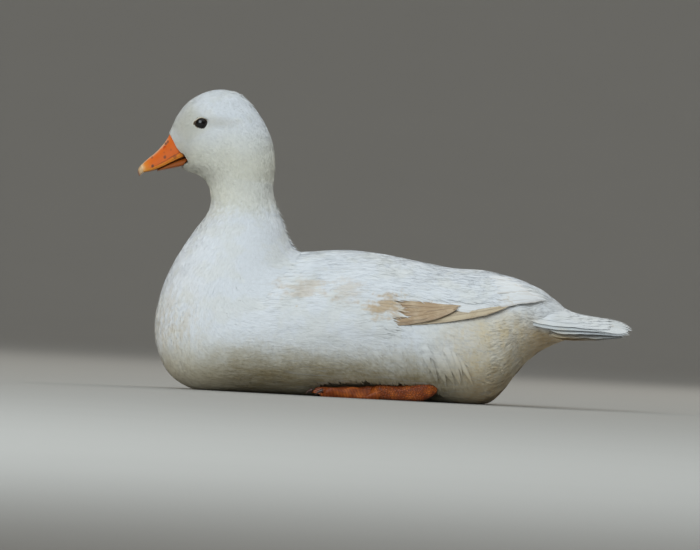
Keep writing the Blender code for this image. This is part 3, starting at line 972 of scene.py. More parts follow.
def feather_mesh(name: str, cut: Cutting, points: Array, homes: Array, **marks: Array) -> Mesh:
    """Many feathers of one cutting, joined in one mesh.

    Args:
        name: The mesh's name.
        cut: The outline of each.
        points: Their points, feathers by corners by 3.
        homes: Their places on the unwrap, feathers by corners by 2.
        **marks: Numbers to store on the points, feathers by corners or fewer.

    Returns:
        The mesh, in metres.
    """
    count, corners = points.shape[:2]
    size = cut.faces.shape[1]
    faces = (cut.faces[None] + corners * np.arange(count)[:, None, None]).reshape(-1, size)
    mesh = bpy.data.meshes.new(name)
    mesh.vertices.add(count * corners)
    mesh.vertices.foreach_set("co", (points.reshape(-1, 3) * MM).astype(np.float32).ravel())
    mesh.loops.add(faces.size)
    mesh.loops.foreach_set("vertex_index", faces.astype(np.int32).ravel())
    mesh.polygons.add(len(faces))
    mesh.polygons.foreach_set("loop_start", (np.arange(len(faces)) * size).astype(np.int32))
    mesh.update(calc_edges=True)
    for key, values in marks.items():
        store(mesh, key, np.broadcast_to(values, (count, corners)).ravel())
    lay_out(mesh, homes.reshape(-1, 2))
    return mesh


# ---- skin and coat


@dataclass
class Skin:
    """One skin for trunk, neck and head, inside the coat."""

    form: BodyForm
    finish: PlumageFinish
    across: int = 180
    per_station: int = 7
    floor: float = 1.2
    socket_room: float = 1.8
    socket_depth: float = 4.0

    def surface(self, place: Array, angle: Array) -> Array:
        """Points of the skin: inside the coat, and sunk under the wings and round the legs.

        Args:
            place: Places of the points.
            angle: Their angles.

        Returns:
            The points.
        """
        form = self.form
        depth = form.coat_depth(place) + form.bed(place, angle)
        points = form.point(place, angle, -depth)
        over = np.clip(form.before_face(points) + 0.5, 0.0, None)
        points[..., 1] += over
        points[..., 0] *= 1.0 - 0.75 * eased(over / 4.0)
        inner, top = form.leg_bed_inner - 1.0, form.leg_top(points) + 1.5
        under = eased((top - points[..., 2]) / 2.5)
        tucked = np.sign(points[..., 0]) * np.minimum(np.abs(points[..., 0]), inner)
        points[..., 0] = points[..., 0] * (1.0 - under) + tucked * under
        points[..., 2] = np.maximum(points[..., 2], self.floor)
        return points

    def build(self, eyes: Sequence["Eye"]) -> Piece:
        """Makes the skin.

        Args:
            eyes: The eyes it has sockets for.

        Returns:
            The skin piece.
        """

        def shape(u: Array, v: Array) -> Array:
            """The skin over the unwrap's square."""
            points = self.surface(v * self.form.end, u * TURN)
            for eye in eyes:
                apart = np.linalg.norm(points - eye.centre, axis=-1)
                pull = self.socket_depth * eased((eye.radius + self.socket_room - apart) / 1.6)
                points[..., 0] -= eye.side.value * pull
            return points

        rings = int(self.form.end) * self.per_station
        mesh = tube_mesh("duck_skin", self.across, rings, shape)
        store(mesh, "shade", np.zeros(len(mesh.vertices)))
        # the whole skin lies under the coat and takes the finish's painted root shade
        store(mesh, "root", np.ones(len(mesh.vertices)))
        piece = make_object("duck_skin", mesh, self.finish.material())
        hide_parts("trunk", "neck", "head")
        return piece


Field = Callable[[Array, Array, Array], Array]


@dataclass(frozen=True)
class Ramp:
    """A field that grows by a further amount as the place goes from one station to another."""

    start: float
    more: float = 0.0
    first: float = 0.0
    last: float = 1.0

    def __call__(self, place: Array, angle: Array, points: Array) -> Array:
        """The field's numbers."""
        return self.start + self.more * between(self.first, self.last, place)


@dataclass
class Growth:
    """How one kind of tuft grows over a stretch of the body.

    Fields take places, angles and points, and give a number for each. The roots lie between two places of
    a stretch and between two numbers of degrees down from the back.
    """

    name: str
    seed: int
    count: int
    stretch: Pair
    cutting: Cutting
    length: Field
    width: float
    density: Field
    sweep: Field
    degrees: Pair = (-1.0, 181.0)
    scatter: float = 7.0
    root: float = -0.9
    tip: float = 0.05
    tip_scatter: float = 0.35
    crown: float = 0.12
    curl: float = 0.0
    twist: float = 14.0
    sunk: float = 0.55
    over_wing: float = 0.0
    flare: float = 0.0
    clumps: Triple = (9.0, 5.0, 0.2)


@dataclass
class Coat:
    """Tufts and feathers laid along the body's form."""

    form: BodyForm
    floor: float = 0.3
    legs: float = 6.2
    toes: float = 3.5
    toe_y: Pair = (-36.0, -48.0)
    patch: float = 0.003

    def _sown(self, growth: Growth, rng: np.random.Generator) -> tuple[Array, Array]:
        """Places and angles of roots, spread by area and density.

        Args:
            growth: What grows where.
            rng: Source of the spread.

        Returns:
            Places and angles, one for each root.
        """
        form = self.form
        place, angle = np.meshgrid(form.places, form.angles, indexing="ij")
        weight = form.areas * np.clip(growth.density(place, angle, form.net), 0.0, None)
        low, high = growth.degrees
        weight *= (degrees_down(angle) > low) & (degrees_down(angle) < high)
        low, high = growth.stretch
        weight *= (place >= low) & (place <= high)
        if high < form.end:
            weight *= between(high, high - 0.7, place)
        weight[:, -1] = 0.0
        total = np.cumsum(weight.ravel())
        shares = (np.arange(growth.count) + rng.random(growth.count)) / growth.count
        picks = np.searchsorted(total, shares * total[-1])
        i, j = np.unravel_index(np.minimum(picks, weight.size - 1), weight.shape)
        place = form.places[i] + (rng.random(growth.count) - 0.5) / form.finest
        angle = form.angles[j] + (rng.random(growth.count) - 0.5) * TURN / form.corners
        return np.clip(place, *growth.stretch), angle

    def led(self, place: Array, angle: Array, far: Array, sweep: Array) -> tuple[Array, Array]:
        """Leads feathers' centre lines over the form from their roots.

        Args:
            place: Places of the roots.
            angle: Their angles.
            far: Millimetres from the root, feathers by corners.
            sweep: How far from tailward each line turns down the side there, in radians.

        Returns:
            Places and angles of the centre lines, feathers by corners.
        """
        form = self.form
        place, angle = place[:, None], angle[:, None]
        along, around = form.read(form.along, place, angle), form.read(form.around, place, angle)
        side = np.where(np.mod(angle, TURN) < math.pi, 1.0, -1.0)
        speed = np.linalg.norm(along, axis=-1)
        tail = -along / speed[..., None]
        down = around * side[..., None]
        slant = np.sum(down * tail, axis=-1)
        reach = np.maximum(np.linalg.norm(down - slant[..., None] * tail, axis=-1), 2.0)
        turn = far * np.sin(sweep) / reach
        return place - (far * np.cos(sweep) - slant * turn) / speed, angle + side * turn

    def settled(self, points: Array) -> Array:
        """Keeps points above the floor, and draws those that would cover the legs in under the belly.

        Args:
            points: Points of feathers, which are moved.

        Returns:
            The same points.
        """
        droop = self.legs + self.toes * between(*self.toe_y, points[..., 1])
        over = np.clip(self.form.leg_top(points) - droop - points[..., 2], 0.0, None)
        points[..., 2] += 0.95 * over
        points[..., 0] -= np.sign(points[..., 0]) * over * 0.7
        points[..., 2] = np.maximum(points[..., 2], self.floor)
        return points

    def laid(
        self, cut: Cutting, place: Array, angle: Array, width: Array, height: Array, crown: float,
        twist: Array | float = 0.0,
    ) -> Array:
        """Lays feathers on the form.

        Args:
            cut: Their outline.
            place: Places of their centre lines, feathers by corners.
            angle: Angles of their centre lines.
            width: Their full widths.
            height: Heights of their centre lines over the form.
            crown: How far the shaft stands over the edges, as a share of the width.
            twist: Slope across each feather.

        Returns:
            Their points, feathers by corners by 3.
        """
        form = self.form
        normal = form.read(form.normals, place, angle)
        centre = form.read(form.net, place, angle) + normal * height[..., None]
        run = centre[:, cut.tip] - centre[:, cut.root]
        across = unit(np.cross(normal, run[:, None]))
        wide = 0.5 * width[:, None] * cut.w * cut.share
        rise = crown * width[:, None] * (1.0 - cut.w**2) + twist * wide
        return centre + across * wide[..., None] + normal * rise[..., None]

    def grow(self, growth: Growth, finish: Material) -> Piece:
        """Grows one piece of coat.

        Args:
            growth: What grows where.
            finish: Its material.

        Returns:
            The coat piece.
        """
        rng = np.random.default_rng(growth.seed)
        form, cut = self.form, growth.cutting
        place, angle = self._sown(growth, rng)
        here = form.point(place, angle, 0.0)
        size = 1.0 + 0.22 * np.clip(rng.standard_normal(growth.count), -2.0, 2.0)
        length = growth.length(place, angle, here) * size
        span, swing, swell = growth.clumps
        scatter = growth.scatter * np.clip(rng.standard_normal(growth.count), -2.2, 2.2)
        scatter += swing * drift(here, span, 0.3 * growth.seed)
        sweep = np.radians(growth.sweep(place, angle, here) + scatter)
        bend = np.radians(growth.curl * rng.standard_normal(growth.count))
        tip = growth.tip + growth.tip_scatter * (rng.random(growth.count) - 0.5)
        tip += swell * drift(here, 1.3 * span, 1.7 + 0.3 * growth.seed)
        twist = np.radians(growth.twist * np.clip(rng.standard_normal(growth.count), -2.0, 2.0))
        turn = sweep[:, None] + bend[:, None] * cut.s
        new_place, new_angle = self.led(place, angle, length[:, None] * cut.s, turn)
        lying = eased(cut.s / 0.4)
        root = growth.root * form.coat_depth(place)[:, None]
        bed = form.bed(new_place, new_angle)
        height = root * (1.0 - lying) + tip[:, None] * lying - growth.sunk * bed
        raised = growth.over_wing * eased(bed / 3.5) * between(11.6, 8.8, new_place)
        height += raised + growth.flare * cut.s**2
        width, slope = growth.width * size, np.tan(twist)[:, None]
        points = self.settled(self.laid(cut, new_place, new_angle, width, height, growth.crown, slope))
        low, high = growth.stretch
        home = np.stack([np.mod(angle, TURN) / TURN, (place - low) / (high - low)], axis=-1)
        patch = self.patch * np.stack([0.5 * cut.w, cut.s - 0.5], axis=-1)
        homes = home[:, None, :] * 0.98 + 0.01 + patch
        # shade is a random tone for each tuft; root gives painted shade towards the root
        shade, root = rng.random(growth.count)[:, None], 1.0 - eased(cut.s / 0.5)
        mesh = feather_mesh(growth.name, cut, points, homes, shade=shade, root=root)
        return make_object(growth.name, mesh, finish)


@dataclass
class Plumage:
    """All the small feathers, each kind with its own length, lie and density."""

    coat: Coat
    eye_middle: Pair = (-143.8, 200.5)
    eye_half: Pair = (5.2, 4.7)

    def _open(self, place: Array, angle: Array, points: Array) -> Array:
        """1 where feathers grow: behind the bill, off the legs, round the eyes, outside the folded wing."""
        form = self.coat.form
        clear = (form.before_face(points) < -0.2) & (form.leg_top(points) + 0.5 < points[..., 2])
        covered = np.clip((form.bed(place, angle) - 2.5) / 2.0, 0.0, 0.8)
        return clear * (self._eye_room(points) > 0.1) * (1.0 - covered)

    def _eye_room(self, points: Array) -> Array:
        """Millimetres from points of the head to the edge of the nearer eye."""
        (y, z), (long, high) = self.eye_middle, self.eye_half
        return (np.hypot((points[..., 1] - y) / long, (points[..., 2] - z) / high) - 1.0) * high

    def _short(self, points: Array, length: Array) -> Array:
        """Lengths cut down where a feather would lie over the eye or the bill."""
        ahead = (points[..., 1] < -143.0) & (np.abs(points[..., 2] - self.eye_middle[1]) < 5.0)
        room = np.where(ahead, self._eye_room(points), 99.0)
        line = -self.coat.form.before_face(points)
        return np.minimum(np.minimum(length, np.maximum(room + 0.1, 0.6)), np.maximum(0.9, 0.9 + 0.5 * line))

    def _face_length(self, place: Array, angle: Array, points: Array) -> Array:
        """Shorter towards the bill."""
        return self._short(points, 1.7 + 1.3 * between(31.0, 26.5, place))

    def _head_length(self, place: Array, angle: Array, points: Array) -> Array:
        """Shorter towards the face."""
        return self._short(points, 3.2 + 0.6 * between(24.0, 21.0, place))

    def _mantle_length(self, place: Array, angle: Array, points: Array) -> Array:
        """Shorter between neck and back."""
        return 9.0 - 4.5 * between(9.4, 10.6, place) * between(14.6, 13.2, place)

    def _hang(self, points: Array) -> Array:
        """How far feathers turn down where they end at the legs."""
        return 42.0 * between(11.0, 1.0, points[..., 2] - self.coat.form.leg_top(points))

    def _breast_sweep(self, place: Array, angle: Array, points: Array) -> Array:
        """Down the side of the breast."""
        return 4.0 + 15.0 * between(14.0, 9.0, place) * np.sin(angle) ** 2 + self._hang(points)

    def _belly_sweep(self, place: Array, angle: Array, points: Array) -> Array:
        """Down the flank."""
        side = between(150.0, 95.0, degrees_down(angle))
        return 18.0 + 20.0 * between(9.0, 6.5, place) * side + self._hang(points)

    def _wing_sweep(self, place: Array, angle: Array, points: Array) -> Array:
        """Down the wing."""
        return 4.0 + 9.0 * between(20.0, 70.0, degrees_down(angle))

    def _on_wing(self, place: Array, angle: Array, points: Array) -> Array:
        """How much soft down lies over the folded wing: all of it in front, little behind."""
        form, down = self.coat.form, degrees_down(angle)
        spill = 18.0 * between(6.9, 8.1, place) - 3.0
        inside = between(0.0, 6.0, form.fraction(form.bed_edge, place) + spill - down)
        quills = between(54.0, 58.0, down) * (1.0 - between(7.25, 8.0, place))
        return between(11.6, 10.7, place) * inside * (0.30 + 0.70 * between(6.0, 9.5, place)) * (1.0 - quills)

    def _on_nape(self, place: Array, angle: Array, points: Array) -> Array:
        """Where loose pointed tufts stand out down the nape."""
        return 1.0 * (place > 12.2) * (place < 18.8)

    def _on_crown(self, place: Array, angle: Array, points: Array) -> Array:
        """Where the crown's feathers end in two small steps."""
        return 1.0 * (((place > 25.30) & (place < 25.90)) | ((place > 24.80) & (place < 25.10)))

    def kinds(self) -> list[Growth]:
        """The kinds of tuft, from the bill to the tail.

        Returns:
            What grows where, one for each piece.
        """
        fine, soft = Cutting(along=2), Cutting(along=3, widest=0.35)
        even, flat, ten = self._open, Ramp(0.0), Ramp(10.0)
        return [
            Growth(
                "face_down", 11, 45000, (25.5, 31.0), fine, self._face_length, 0.40, even, flat, scatter=9.0,
                tip=-0.15, tip_scatter=0.35, twist=11.0, clumps=(5.0, 9.0, 0.12),
            ),
            Growth(
                "head_down", 12, 60000, (21.0, 27.4), fine, self._head_length, 0.55, even, flat, scatter=9.0,
                tip=-0.2, tip_scatter=0.40, twist=12.0, clumps=(7.0, 9.0, 0.14),
            ),
            Growth(
                "neck_down", 13, 60000, (15.4, 22.4), fine, Ramp(4.4, 2.0, 21.0, 16.0), 0.8, even, flat,
                tip=-0.1, tip_scatter=0.42, twist=10.5, clumps=(11.0, 7.0, 0.14),
            ),
            Growth(
                "breast_feathers", 14, 39000, (8.5, 16.8), soft, Ramp(8.5), 1.5, even, self._breast_sweep,
                (50.0, 181.0), scatter=5.0, curl=6.0, tip_scatter=0.25, twist=4.0, sunk=0.2,
                clumps=(24.0, 4.0, 0.10),
            ),
            Growth(
                "belly_feathers", 15, 38000, (3.8, 9.8), soft, ten, 1.5, even, self._belly_sweep,
                (56.0, 181.0), scatter=6.0, curl=7.0, tip_scatter=0.4, twist=5.0, sunk=0.2,
                clumps=(24.0, 6.0, 0.2),
            ),
            Growth(
                "mantle_feathers", 16, 26000, (8.5, 16.8), soft, self._mantle_length, 1.6, even, flat,
                (-1.0, 66.0), scatter=5.0, curl=6.0, tip_scatter=0.3, twist=4.5, sunk=0.15,
                clumps=(24.0, 5.0, 0.12),
            ),
            Growth(
                "rump_feathers", 20, 14000, (0.0, 5.0), soft, ten, 1.5, even, flat, (-1.0, 78.0),
                scatter=6.0, curl=6.0, tip=0.1, tip_scatter=0.4, twist=5.0, sunk=0.3, clumps=(20.0, 6.0, 0.2),
            ),
            Growth(
                "vent_feathers", 17, 26000, (0.0, 5.0), soft, Ramp(10.5), 1.5, even,
                Ramp(6.0, 14.0, 6.0, 3.0), (64.0, 181.0), scatter=11.0, curl=8.0, tip=0.3, tip_scatter=1.1,
                twist=8.0, clumps=(13.0, 14.0, 0.55),
            ),
            Growth(
                "wing_down", 18, 32000, (2.2, 11.6), soft, Ramp(10.5, 5.0, 10.0, 6.0), 1.35, self._on_wing,
                self._wing_sweep, scatter=4.5, curl=5.0, root=-0.4, tip=0.12, tip_scatter=0.4, twist=4.0,
                sunk=0.0, over_wing=1.3, clumps=(26.0, 6.0, 0.25),
            ),
            Growth(
                "nape_tufts", 19, 44, (12.0, 19.5), soft, Ramp(7.0), 1.9, self._on_nape, flat, (-1.0, 9.0),
                scatter=3.0, tip=-0.4, tip_scatter=0.5, twist=14.0, flare=2.3, clumps=(9.0, 2.0, 0.1),
            ),
            Growth(
                "crown_tufts", 21, 64, (24.5, 26.5), soft, Ramp(6.0), 1.4, self._on_crown, flat, (-1.0, 17.0),
                scatter=3.0, tip=-0.1, tip_scatter=0.3, twist=5.0, flare=1.0, clumps=(9.0, 2.0, 0.1),
            ),
        ]

    def build(self, material: Material) -> list[Piece]:
        """Grows every kind."""
        return [self.coat.grow(kind, material) for kind in self.kinds()]


# ---- large feathers


@dataclass
class Vane:
    """One large feather: its root and tip on the form, with places and degrees down from the back."""

    root: Pair
    tip: Pair
    width: float
    low: float = -2.5
    high: float = 1.2
    tilt: float = 0.6
    bow: float = 0.0


@dataclass
class FeatherGroup:
    """A group of large feathers in one piece, each with its own part of the unwrap."""

    coat: Coat
    cutting: Cutting
    ragged: float = 0.05
    crown: float = 0.05

    def laid(self, vanes: Sequence[Vane], side: Side, seed: int) -> tuple[Array, Array]:
        """Lays the feathers on one side of the body.

        Args:
            vanes: The feathers.
            side: The body's side.
            seed: Seeds their small differences.

        Returns:
            Their points, and the random numbers that shade them.
        """
        rng = np.random.default_rng(seed)
        cut, count, sign = self.cutting, len(vanes), side.value
        root, tip = np.array([vane.root for vane in vanes]), np.array([vane.tip for vane in vanes])
        sizes = [(vane.width, vane.low, vane.high, vane.tilt, vane.bow) for vane in vanes]
        width, low, high, tilt, bow = np.array(sizes).T
        share = cut.s
        place = root[:, :1] + (tip - root)[:, :1] * share
        down = root[:, 1:] + (tip - root)[:, 1:] * share + bow[:, None] * 4.0 * share * (1.0 - share)
        rise = low[:, None] + (high - low)[:, None] * eased(share * 1.35)
        rise = rise - tilt[:, None] * cut.w * sign * cut.share
        rise += 0.25 * (rng.random(count)[:, None] - 0.5)
        angle = np.radians(down) * sign
        points = self.coat.laid(cut, place, angle, width, rise, self.crown)
        run = points[:, cut.tip] - points[:, cut.root]
        middle = points[:, cut.root][:, None] + run[:, None] * share[:, None]
        torn = self.ragged * rng.standard_normal(points.shape[:2]) * np.abs(cut.w) ** 2 * eased(share * 3.0)
        return points + (points - middle) * torn[..., None], rng.random(count)

    def piece(
        self, name: str, points: Array, shade: Array, width: Array, length: Array, finish: Material,
        slot: str = "plumage",
    ) -> Piece:
        """Joins laid feathers into a piece.

        Args:
            name: The piece's name.
            points: The feathers' points.
            shade: One random number for each feather.
            width: Their widths.
            length: Their lengths.
            finish: Their material.
            slot: Not used.

        Returns:
            The piece.
        """
        cut, count = self.cutting, len(points)
        cells = math.ceil(math.sqrt(count))
        column, row = np.arange(count) % cells, np.arange(count) // cells
        rows = math.ceil(count / cells)
        u = (column[:, None] + 0.5 + 0.46 * cut.w * np.maximum(cut.share, 0.02)) / cells
        v = (row[:, None] + 0.04 + 0.92 * cut.s) / rows
        # root gives painted shade towards the roots where the plumage finish reads it
        mesh = feather_mesh(
            name, cut, points, np.stack([u, v], axis=-1), shade=shade[:, None], along=length[:, None] * cut.s,
            across=0.5 * width[:, None] * (cut.w * cut.share), rim=cut.w**2, root=1.0 - eased(cut.s / 0.3),
        )
        return make_object(name, mesh, finish)


@dataclass
class FoldedWing:
    """One folded wing: scapulars, coverts, tertials, a fan of secondaries, and the primaries below them."""

    coat: Coat
    side: Side
    seed: int
    back_line: Line = (12.0, 11.0, 8.0, 6.5, 5.0, 1.4, 1.2, 1.1, 1.1, 1.1, 1.2, 1.2, 1.4)
    scapular_line: Line = (40.0, 47.0, 54.0, 57.0, 59.0, 60.0, 59.0, 56.0, 52.0, 47.0, 42.0, 36.0, 30.0)
    covert_line: Line = (44.0, 51.0, 57.0, 60.5, 63.2, 66.5, 71.5, 77.0, 77.0, 75.0, 70.0, 60.0, 50.0)

    def _rows(
        self, ends: Pair, rows: int, top: Line, bottom: Line, gap: float, reach: float, width: float,
        drop: float, rng: np.random.Generator,
    ) -> list[Vane]:
        """Rows of like feathers between two borders.

        Args:
            ends: Places of the front and the rear row's roots.
            rows: How many rows.
            top: Upper border, in degrees for each station.
            bottom: Lower border.
            gap: Space between neighbours in a row, in degrees.
            reach: Length, in stations.
            width: Width.
            drop: How far tips point down, in degrees.
            rng: Source of small differences.

        Returns:
            The feathers.
        """
        form, vanes = self.coat.form, []
        for k in range(rows):
            place = ends[0] + (ends[1] - ends[0]) * k / max(1, rows - 1)
            start, end = (float(form.fraction(line, place)) for line in (top, bottom))
            count = max(2, round((end - start) / gap))
            for i in range(count + 1):
                down = start + (end - start) * (i + 0.5 * (k % 2)) / (count + 0.5)
                size = 1.0 + 0.12 * float(rng.standard_normal())
                slip = 0.12 * float(rng.standard_normal())
                tip = place + slip - reach * size
                first, last = (float(form.fraction(line, tip)) for line in (top, bottom))
                level = first + (last - first) * (down - start) / max(end - start, 1.0)
                vanes.append(Vane((place + slip, down), (tip, level + drop), width * size, -1.8, 0.6, 0.25))
        return vanes

    def _spread(
        self, count: int, roots: tuple[Pair, Pair], tips: tuple[Pair, Pair], width: Pair, low: float,
        high: Pair, bow: Pair,
    ) -> list[Vane]:
        """Feathers fanned between two, given by side-view y and z of root and tip.

        Args:
            count: How many feathers.
            roots: Roots of the first and the last.
            tips: Their tips.
            width: Their widths.
            low: Height of the roots over the form.
            high: Heights of the first and last tips.
            bow: How far each bows down, in degrees.

        Returns:
            The feathers.
        """
        form, vanes = self.coat.form, []
        for k in range(count):
            f = k / max(1, count - 1)
            ends = []
            for near, far in (roots, tips):
                y, z = near[0] + (far[0] - near[0]) * f, near[1] + (far[1] - near[1]) * f
                place, angle = form.place_of(y, z, Side.LEFT)
                ends.append((place, math.degrees(angle)))
            wide, tip, bend = (start + (end - start) * f for start, end in (width, high, bow))
            vanes.append(Vane(*ends, wide, low, tip, 0.35, bend))
        return vanes

    def groups(self) -> dict[str, tuple[list[Vane], Cutting, float]]:
        """The feathers of each group, with their outline and raggedness.

        Returns:
            For each group's name its feathers, outline and raggedness.
        """
        rng = np.random.default_rng(self.seed)
        silky = Cutting(along=9, across=4, root_width=0.45, widest=0.55, tip_round=2.2)
        round_tip = Cutting(along=7, across=4, root_width=0.5, widest=0.6, tip_round=3.0)
        quill = Cutting(along=18, across=4, root_width=0.5, widest=0.25, tip_round=4.0)
        scapulars = self._rows((10.4, 5.2), 13, self.back_line, self.scapular_line, 6.0, 1.6, 11.0, 3.0, rng)
        coverts = self._rows((10.3, 8.2), 7, self.scapular_line, self.covert_line, 5.5, 0.95, 9.5, 2.0, rng)
        tertials = self._spread(
            5, ((34.0, 97.0), (41.0, 77.5)), ((100.0, 92.8), (121.0, 79.5)), (14.0, 15.5), -1.5, (1.2, 1.9),
            (0.0, 1.0),
        )
        secondaries = self._spread(
            9, ((-6.0, 78.0), (4.0, 57.5)), ((58.5, 73.4), (54.5, 69.2)), (6.6, 6.2), -0.5, (0.6, 2.6),
            (0.0, 1.5),
        )
        primaries = self._spread(
            4, ((13.0, 60.0), (13.0, 57.0)), ((86.0, 74.2), (93.0, 73.0)), (5.2, 4.6), -0.5, (0.8, 2.6),
            (-0.5, -1.0),
        )
        return {
            "scapulars": (scapulars, silky, 0.10),
            "coverts": (coverts, round_tip, 0.08),
            "tertials": (tertials, quill, 0.04),
            "secondaries": (secondaries, quill, 0.03),
            "primaries": (primaries, quill, 0.02),
        }

    def build(self, finishes: dict[str, Material]) -> list[Piece]:
        """Builds the five groups.

        Args:
            finishes: The material of each group.

        Returns:
            The wing's pieces.
        """
        pieces = []
        for index, (group, (vanes, cutting, ragged)) in enumerate(self.groups().items()):
            feathers = FeatherGroup(self.coat, cutting, ragged)
            points, shade = feathers.laid(vanes, self.side, self.seed * 10 + index)
            length = np.linalg.norm(points[:, cutting.tip] - points[:, cutting.root], axis=-1)
            width = np.array([vane.width for vane in vanes])
            slot = "cream_quills" if group in ("secondaries", "primaries") else "plumage"
            name = f"{group}_feathers_{self.side.word}"
            piece = feathers.piece(name, points, shade, width, length, finishes[group], slot)
            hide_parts(f"{group}_{self.side.word}")
            pieces.append(piece)
        return pieces


@dataclass
class FlankFeathers:
    """Long silky feathers that sweep down and back over the thigh."""

    coat: Coat
    side: Side
    seed: int
    count: int = 440
    plumes: int = 13

    def build(self, finish: Material) -> Piece:
        """Builds the flank of one side.

        Args:
            finish: Its material.

        Returns:
            The piece.
        """
        rng = np.random.default_rng(self.seed)
        cut = Cutting(along=9, across=2, root_width=0.3, widest=0.45, tip_round=1.3)
        plume = np.arange(self.count) >= self.count - self.plumes
        place = np.where(plume, 6.9 - 0.7 * rng.random(self.count), 9.4 - 3.4 * rng.random(self.count))
        share = rng.random(self.count)
        down = np.where(plume, 78.0 + 17.0 * share, 82.0 + 24.0 * share + 2.0 * (9.4 - place))
        order = np.lexsort((-place, plume))
        place, down = place[order], down[order]
        rear = between(9.2, 6.6, place)
        length = np.where(plume, 46.0, 22.0 + 13.0 * rear) * (1.0 + 0.13 * rng.standard_normal(self.count))
        sweep = np.radians(16.0 + 30.0 * rear + 4.0 * rng.standard_normal(self.count))
        angle = np.radians(down)
        bend = 0.30 + 0.15 * rng.standard_normal(self.count)
        curve = sweep[:, None] + bend[:, None] * (cut.s - 0.5)
        new_place, new_angle = self.coat.led(place, angle, length[:, None] * cut.s, curve)
        rise = np.where(plume, 4.4, 2.3) + 0.8 * rng.random(self.count)
        height = -2.6 + rise[:, None] * eased(cut.s * 1.3)
        width = np.where(plume, 4.0, 2.4) + 1.8 * rng.random(self.count)
        sign = self.side.value
        points = self.coat.settled(self.coat.laid(cut, new_place, new_angle * sign, width, height, 0.06))
        feathers = FeatherGroup(self.coat, cut, 0.08)
        name = f"flank_feathers_{self.side.word}"
        return feathers.piece(name, points, rng.random(self.count), width, length, finish)


